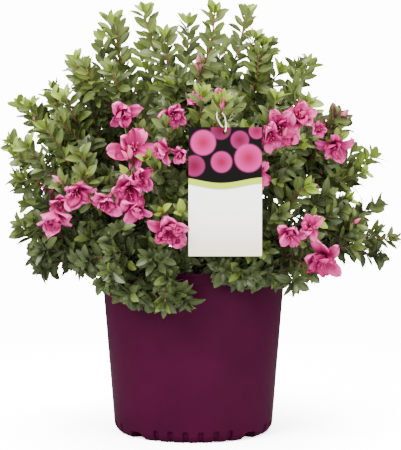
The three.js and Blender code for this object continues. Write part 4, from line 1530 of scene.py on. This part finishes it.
def tag_depth(height):
    """How far forward the tag's plane is at a height."""
    return TAG_TOP[1] - (TAG_TOP[2] - height) * math.tan(math.radians(TAG_LEAN))


class TagSettings(bpy.types.PropertyGroup):
    """Sizes and colours of the hang tag."""

    width: FloatProperty(name="Width", description="Across the card", default=0.104, subtype="DISTANCE")
    height: FloatProperty(name="Height", description="Down the card", default=0.183, subtype="DISTANCE")
    thickness: FloatProperty(name="Thickness", description="Of the card", default=0.0008, subtype="DISTANCE")
    hole: FloatProperty(name="Hole", description="Across the hole", default=0.007, subtype="DISTANCE")
    ground: FloatVectorProperty(
        name="Ground", description="Behind the discs", default=(0.004, 0.003, 0.003), subtype="COLOR"
    )
    discs: FloatVectorProperty(
        name="Discs", description="In the middle of each disc", default=(0.25, 0.001, 0.042), subtype="COLOR"
    )
    disc_rims: FloatVectorProperty(
        name="Disc Rims", description="At the rim of each disc", default=(0.40, 0.020, 0.165), subtype="COLOR"
    )
    band: FloatVectorProperty(
        name="Band", description="Of the waved stripe", default=(0.36, 0.46, 0.03), subtype="COLOR"
    )
    paper: FloatVectorProperty(
        name="Paper", description="Of the lower half", default=(0.66, 0.58, 0.40), subtype="COLOR"
    )


TAG_HOLE_DROP = 0.007
TAG_CORNER = 0.0012


def tag_outline(settings):
    """The card's outline with rounded corners, from its lower left, as x and drop from the top."""
    right, bottom = settings.width / 2 - TAG_CORNER, settings.height - TAG_CORNER
    turns = ((-right, bottom, 180), (right, bottom, 270), (right, TAG_CORNER, 0), (-right, TAG_CORNER, 90))
    points = []
    for x, drop, start in turns:
        for k in range(7):
            angle = math.radians(start + 15 * k)
            points.append((x + TAG_CORNER * math.cos(angle), drop - TAG_CORNER * math.sin(angle)))
    return points


def make_tag_card(settings):
    """A thin card with rounded corners and a punched hole."""
    ring = [polar(15 * k, settings.hole / 2, 0) for k in range(24)]
    hole = [(x, TAG_HOLE_DROP - y) for x, y, _ in ring]
    form = bmesh.new()
    uv_layer = form.loops.layers.uv.new("surface")
    loops = []
    for points in (tag_outline(settings), hole):
        corners = [form.verts.new((x, -drop, 0)) for x, drop in points]
        loops.append([form.edges.new((a, b)) for a, b in zip(corners, corners[1:] + corners[:1])])
    bmesh.ops.triangle_fill(form, edges=loops[0] + loops[1], use_beauty=True)
    bmesh.ops.recalc_face_normals(form, faces=form.faces)
    if next(iter(form.faces)).normal.z < 0:
        bmesh.ops.reverse_faces(form, faces=form.faces)
    lower = bmesh.ops.duplicate(form, geom=form.faces[:] + form.verts[:] + form.edges[:])
    pairs = lower["vert_map"]
    front_edges = [edge for loop in loops for edge in loop]
    lower_corners = [part for part in lower["geom"] if isinstance(part, bmesh.types.BMVert)]
    lower_faces = [part for part in lower["geom"] if isinstance(part, bmesh.types.BMFace)]
    bmesh.ops.translate(form, verts=lower_corners, vec=(0, 0, -settings.thickness))
    bmesh.ops.reverse_faces(form, faces=lower_faces)
    for edge in front_edges:
        a, b = edge.verts
        form.faces.new((a, b, pairs[b], pairs[a]))
    for face in form.faces:
        for loop in face.loops:
            x, y, _ = loop.vert.co
            loop[uv_layer].uv = (x / settings.width + 0.5, 1 + y / settings.height)
    bmesh.ops.recalc_face_normals(form, faces=form.faces)
    for face in form.faces:
        face.material_index = 0 if face.normal.z > 0.5 else 1
    place = Matrix.Identity(4)
    for row, columns in enumerate(zip(-TAG_DOWN, TAG_OUT, TAG_TOP)):
        place[row][1:] = columns
    lifted = place @ Matrix.Translation((0, 0, settings.thickness / 2))
    bmesh.ops.transform(form, matrix=lifted, verts=form.verts)
    mesh = bpy.data.meshes.new("tag_card")
    form.to_mesh(mesh)
    form.free()
    mesh.materials.append(tag_print_material(settings))
    mesh.materials.append(tag_back_material(settings))
    finish_piece(new_object("tag_card", mesh), "tag", "tag")


DISCS = (  # centre across and up the card, radius and strength of each printed disc
    (0.44, 0.98, 0.15, 0.35), (0.70, 0.90, 0.14, 0.5), (0.08, 0.70, 0.16, 0.45), (0.20, 0.88, 0.19, 1.0),
    (0.82, 0.76, 0.21, 1.0), (0.45, 0.73, 0.16, 0.8), (0.93, 0.97, 0.12, 0.6),
)
WAVE = {"turns": 5.2, "phase": 2.4, "height": 0.022}
STRIPE_FOOT = (0.53, 0.545)  # heights up the card between which it fades in, and out again
STRIPE_TOP = (0.585, 0.592)
PAPER_WHITE = (0.97, 0.97, 0.95)
PAPER_FADE = (0.45, -0.1)


def tag_print_material(settings):
    """The card's front: soft discs on a dark ground, a waved stripe, and plain pale paper below."""
    shading = Shading("tag_print", 0.32)
    shading.set("Specular IOR Level", 0.2)
    calculate, mix = shading.calculate, shading.mix

    def fade(value, *span):
        return shading.ramp(value, *span, shape="SMOOTHSTEP")

    surface = shading.surface()
    across, up = surface["X"], surface["Y"]
    picture = tuple(settings.ground)
    for x, y, radius, strength in DISCS:
        right = calculate("SUBTRACT", across, x)
        above = calculate("MULTIPLY", calculate("SUBTRACT", up, y), settings.height / settings.width)
        squares = [calculate("MULTIPLY", part, part) for part in (right, above)]
        distance = calculate("SQRT", calculate("ADD", *squares))
        inside = calculate("MULTIPLY", fade(distance, radius, radius * 0.8), strength)
        tint = mix(fade(distance, radius, 0.0), tuple(settings.disc_rims), tuple(settings.discs))
        picture = mix(inside, picture, tint)
    phase = calculate("ADD", calculate("MULTIPLY", across, WAVE["turns"]), WAVE["phase"])
    level = calculate("SUBTRACT", up, calculate("MULTIPLY", calculate("SINE", phase), WAVE["height"]))
    stripe = mix(fade(level, *STRIPE_TOP), tuple(settings.band), picture)
    paper = mix(fade(up, *PAPER_FADE), PAPER_WHITE, tuple(settings.paper))
    shading.set("Base Color", mix(fade(level, *STRIPE_FOOT), paper, stripe))
    places = shading.add("ShaderNodeTexCoord").outputs["Object"]
    grain = shading.add("ShaderNodeTexNoise", {"Scale": 900.0, "Detail": 2.0, "Vector": places})
    shading.bump(grain.outputs[0], 0.04, 0.0003)
    return shading.material


def tag_back_material(settings):
    """The card's back and edges: plain pale plastic."""
    paper = tuple(settings.paper)
    return plain_finish("tag_card_plain", paper, scaled(paper, 0.94), 0.4, 30, 900, 0.05, 0.0003)


def make_tie():
    """One thin loop: over the stem, down on either side of it, and through the tag's hole."""
    around = TIE_STEM.path.point(TIE["share"])
    tangent = TIE_STEM.path.tangent(TIE["share"])
    over = unit(UP - tangent * np.dot(UP, tangent))
    hole = TAG_TOP + TAG_DOWN * (TAG_HOLE_DROP - 0.001)
    middle = (around + hole) / 2
    gap = TIE["gap"]

    def beside(point, across, out, up):
        return point + np.array([across, 0, up]) + TAG_OUT * out

    points = [
        beside(around, -gap, 0, -0.001),
        around + over * gap * 0.8,
        beside(around, gap, 0, -0.001),
        beside(middle, gap, gap * 0.6, 0),
        beside(hole, 0.001, gap, 0.003),
        beside(hole, 0, 0, 0),
        beside(hole, -0.001, -gap, 0.003),
        beside(middle, -gap, -gap * 0.6, 0),
    ]
    curve = bpy.data.curves.new("tag_tie", "CURVE")
    curve.dimensions = "3D"
    curve.bevel_depth = TIE["radius"]
    curve.bevel_resolution = 3
    curve.resolution_u = 8
    spline = curve.splines.new("BEZIER")
    spline.bezier_points.add(len(points) - 1)
    spline.use_cyclic_u = True
    for corner, point in zip(spline.bezier_points, points):
        corner.co = point
        corner.handle_left_type = corner.handle_right_type = "AUTO"
    loop = new_object("tie_curve", curve)
    mesh = evaluated_mesh(loop)
    bpy.data.objects.remove(loop)
    mesh.name = "tag_tie"
    finish = ((0.8, 0.82, 0.74), (0.7, 0.72, 0.62), 0.35, 60, 600, 0.05, 0.0002)
    mesh.materials.clear()
    mesh.materials.append(plain_finish("tie_plastic", *finish))
    finish_piece(new_object("tag_tie", mesh), "tie", "tie")


# ---- stage ----


TOP_SHARE = 0.68  # the top light's power, as a share of the key light's
ROOM_WHITE = 14.0  # how bright the room looks
ROOM_MIRRORED = 0.08  # how much of the room's light shows in gloss
FLOOR_WHITE = 4.2  # how pale the floor looks
FLOOR_PLAIN = 0.7  # how much light it throws back
FLOOR_MIRRORED = 0.12  # how much of it shows in gloss
FLOOR_SOLID = 0.25  # beyond this radius the floor fades
FLOOR_RADIUS = 1.1
AIM = (0, 0, 0.35)


class StageSettings(bpy.types.PropertyGroup):
    """Camera and lights."""

    camera_place: FloatVectorProperty(
        name="Camera Place",
        description="Where the camera stands",
        default=(0.011, -2.75, 0.56),
        subtype="TRANSLATION",
    )
    camera_pitch: FloatProperty(
        name="Camera Pitch",
        description="How far the camera looks down",
        default=math.radians(5.07),
        subtype="ANGLE",
    )
    lens: FloatProperty(name="Lens", description="Focal length in millimetres", default=143.7)
    room_light: FloatProperty(name="Room Light", description="Light from all round", default=2.0)
    key_power: FloatProperty(name="Key Power", description="Of the main light, in watts", default=145.0)
    fill_power: FloatProperty(name="Fill Power", description="Of the other light, in watts", default=60.0)


def add_light(name, place, size, power):
    """A soft square light that looks at the plant."""
    data = bpy.data.lights.new(name, "AREA")
    data.shape = "SQUARE"
    data.size = size
    data.energy = power
    light = new_object(name, data)
    light.location = place
    light.rotation_euler = (Vector(AIM) - Vector(place)).to_track_quat("-Z", "Y").to_euler()


def make_floor():
    """A disc of pale floor that fades into the white room."""
    pile = MeshPile()
    corners = [polar(5 * k, FLOOR_RADIUS, 0) for k in range(72)]
    pile.add(corners, [list(range(72))], [(corner[0], corner[1]) for corner in corners])
    material = bpy.data.materials.new("studio_floor")
    material.use_nodes = True
    nodes = Nodes(material.node_tree)
    nodes.tree.nodes.remove(nodes.tree.nodes["Principled BSDF"])
    seen = nodes.add("ShaderNodeLightPath").outputs
    plain = nodes.mix(seen["Is Glossy Ray"], (FLOOR_PLAIN,) * 3, (FLOOR_MIRRORED,) * 3)
    tone = nodes.mix(seen["Is Camera Ray"], plain, (FLOOR_WHITE,) * 3)
    surface = nodes.add("ShaderNodeBsdfDiffuse", {"Color": tone})
    places = nodes.add("ShaderNodeTexCoord").outputs["Object"]
    reach = nodes.add("ShaderNodeVectorMath", {0: places}, operation="LENGTH").outputs["Value"]
    fade = nodes.ramp(reach, FLOOR_SOLID, FLOOR_RADIUS, shape="SMOOTHSTEP")
    clear = nodes.add("ShaderNodeBsdfTransparent")
    blend = nodes.add("ShaderNodeMixShader", {0: fade, 1: surface.outputs[0], 2: clear.outputs[0]})
    nodes.feed(nodes.tree.nodes["Material Output"].inputs["Surface"], blend.outputs[0])
    pile.piece("studio_floor", material, smooth=False)


def make_room(strength):
    """A white room: it looks bright to the camera, and lights the plant softly."""
    world = bpy.data.worlds.new("studio")
    world.use_nodes = True
    nodes = Nodes(world.node_tree)
    seen = nodes.add("ShaderNodeLightPath").outputs
    mirrored = nodes.ramp(seen["Is Glossy Ray"], 0.0, 1.0, strength, strength * ROOM_MIRRORED)
    level = nodes.ramp(seen["Is Camera Ray"], 0.0, 1.0, mirrored, ROOM_WHITE)
    background = nodes.tree.nodes["Background"]
    nodes.feed(background.inputs["Strength"], level)
    nodes.feed(background.inputs["Color"], (1, 1, 1, 1))
    bpy.context.scene.world = world


def make_stage(settings):
    """A pale floor, soft studio lights and the camera."""
    make_floor()
    make_room(settings.room_light)
    add_light("key_light", (-1.5, -1.6, 1.9), 1.5, settings.key_power)
    add_light("fill_light", (1.7, -1.7, 1.0), 1.2, settings.fill_power)
    add_light("top_light", (0.1, 0.3, 2.2), 1.6, settings.key_power * TOP_SHARE)
    data = bpy.data.cameras.new("studio_camera")
    data.lens = settings.lens
    data.sensor_width = 36
    data.clip_end = 100
    camera = new_object("studio_camera", data)
    camera.location = settings.camera_place
    camera.rotation_euler = (math.radians(90) - settings.camera_pitch, 0, 0)
    bpy.context.scene.camera = camera


# ---- add-on ----


class AZALEA_OT_stage(bpy.types.Operator):
    """Makes the floor, the lights and the camera"""

    bl_idname = "azalea.make_stage"
    bl_label = "Make Stage"

    def execute(self, context):
        make_stage(context.scene.azalea_stage)
        return {"FINISHED"}


class AZALEA_OT_pot(bpy.types.Operator):
    """Makes the nursery pot"""

    bl_idname = "azalea.make_pot"
    bl_label = "Make Pot"

    def execute(self, context):
        make_pot(context.scene.azalea_pot)
        return {"FINISHED"}


class AZALEA_OT_potting_mix(bpy.types.Operator):
    """Fills the pot with bark mix"""

    bl_idname = "azalea.make_potting_mix"
    bl_label = "Make Potting Mix"

    def execute(self, context):
        make_potting_mix()
        return {"FINISHED"}


class AZALEA_OT_limbs(bpy.types.Operator):
    """Makes the trunk and the boughs"""

    bl_idname = "azalea.make_limbs"
    bl_label = "Make Limbs"

    def execute(self, context):
        make_limbs()
        return {"FINISHED"}


class AZALEA_OT_foliage(bpy.types.Operator):
    """Grows the twigs and their leaves"""

    bl_idname = "azalea.make_foliage"
    bl_label = "Make Foliage"

    def execute(self, context):
        make_foliage(context.scene.azalea_foliage)
        return {"FINISHED"}


class AZALEA_OT_blooms(bpy.types.Operator):
    """Makes the blooms and buds"""

    bl_idname = "azalea.make_blooms"
    bl_label = "Make Blooms"

    def execute(self, context):
        make_blooms(context.scene.azalea_blooms)
        return {"FINISHED"}


class AZALEA_OT_tag(bpy.types.Operator):
    """Makes the hang tag and its tie"""

    bl_idname = "azalea.make_tag"
    bl_label = "Make Tag"

    def execute(self, context):
        make_tag_card(context.scene.azalea_tag)
        make_tie()
        return {"FINISHED"}


OPERATORS = (
    AZALEA_OT_stage,
    AZALEA_OT_pot,
    AZALEA_OT_potting_mix,
    AZALEA_OT_limbs,
    AZALEA_OT_foliage,
    AZALEA_OT_blooms,
    AZALEA_OT_tag,
)
SETTINGS = {
    "azalea_pot": PotSettings,
    "azalea_foliage": FoliageSettings,
    "azalea_blooms": BloomSettings,
    "azalea_tag": TagSettings,
    "azalea_stage": StageSettings,
}


class AZALEA_PT_panel(bpy.types.Panel):
    """Lists the azalea's pieces and their settings"""

    bl_idname = "AZALEA_PT_panel"
    bl_label = "Potted Azalea"
    bl_space_type = "VIEW_3D"
    bl_region_type = "UI"
    bl_category = "Azalea"

    def draw(self, context):
        for operator in OPERATORS:
            self.layout.operator(operator.bl_idname)
        for name, group in SETTINGS.items():
            box = self.layout.box()
            box.label(text=group.__name__)
            for setting in group.__annotations__:
                box.prop(getattr(context.scene, name), setting)


def register():
    """Adds the settings, operators and panel to Blender."""
    for name, group in SETTINGS.items():
        bpy.utils.register_class(group)
        setattr(bpy.types.Scene, name, PointerProperty(type=group))
    for item in (*OPERATORS, AZALEA_PT_panel):
        bpy.utils.register_class(item)


def unregister():
    """Takes them out again."""
    for item in reversed((*OPERATORS, AZALEA_PT_panel)):
        bpy.utils.unregister_class(item)
    for name, group in SETTINGS.items():
        delattr(bpy.types.Scene, name)
        bpy.utils.unregister_class(group)


def main():
    """Registers the add-on and builds every piece in order."""
    register()
    for operator in OPERATORS:
        group, name = operator.bl_idname.split(".")
        getattr(getattr(bpy.ops, group), name)()


if __name__ == "__main__":
    main()
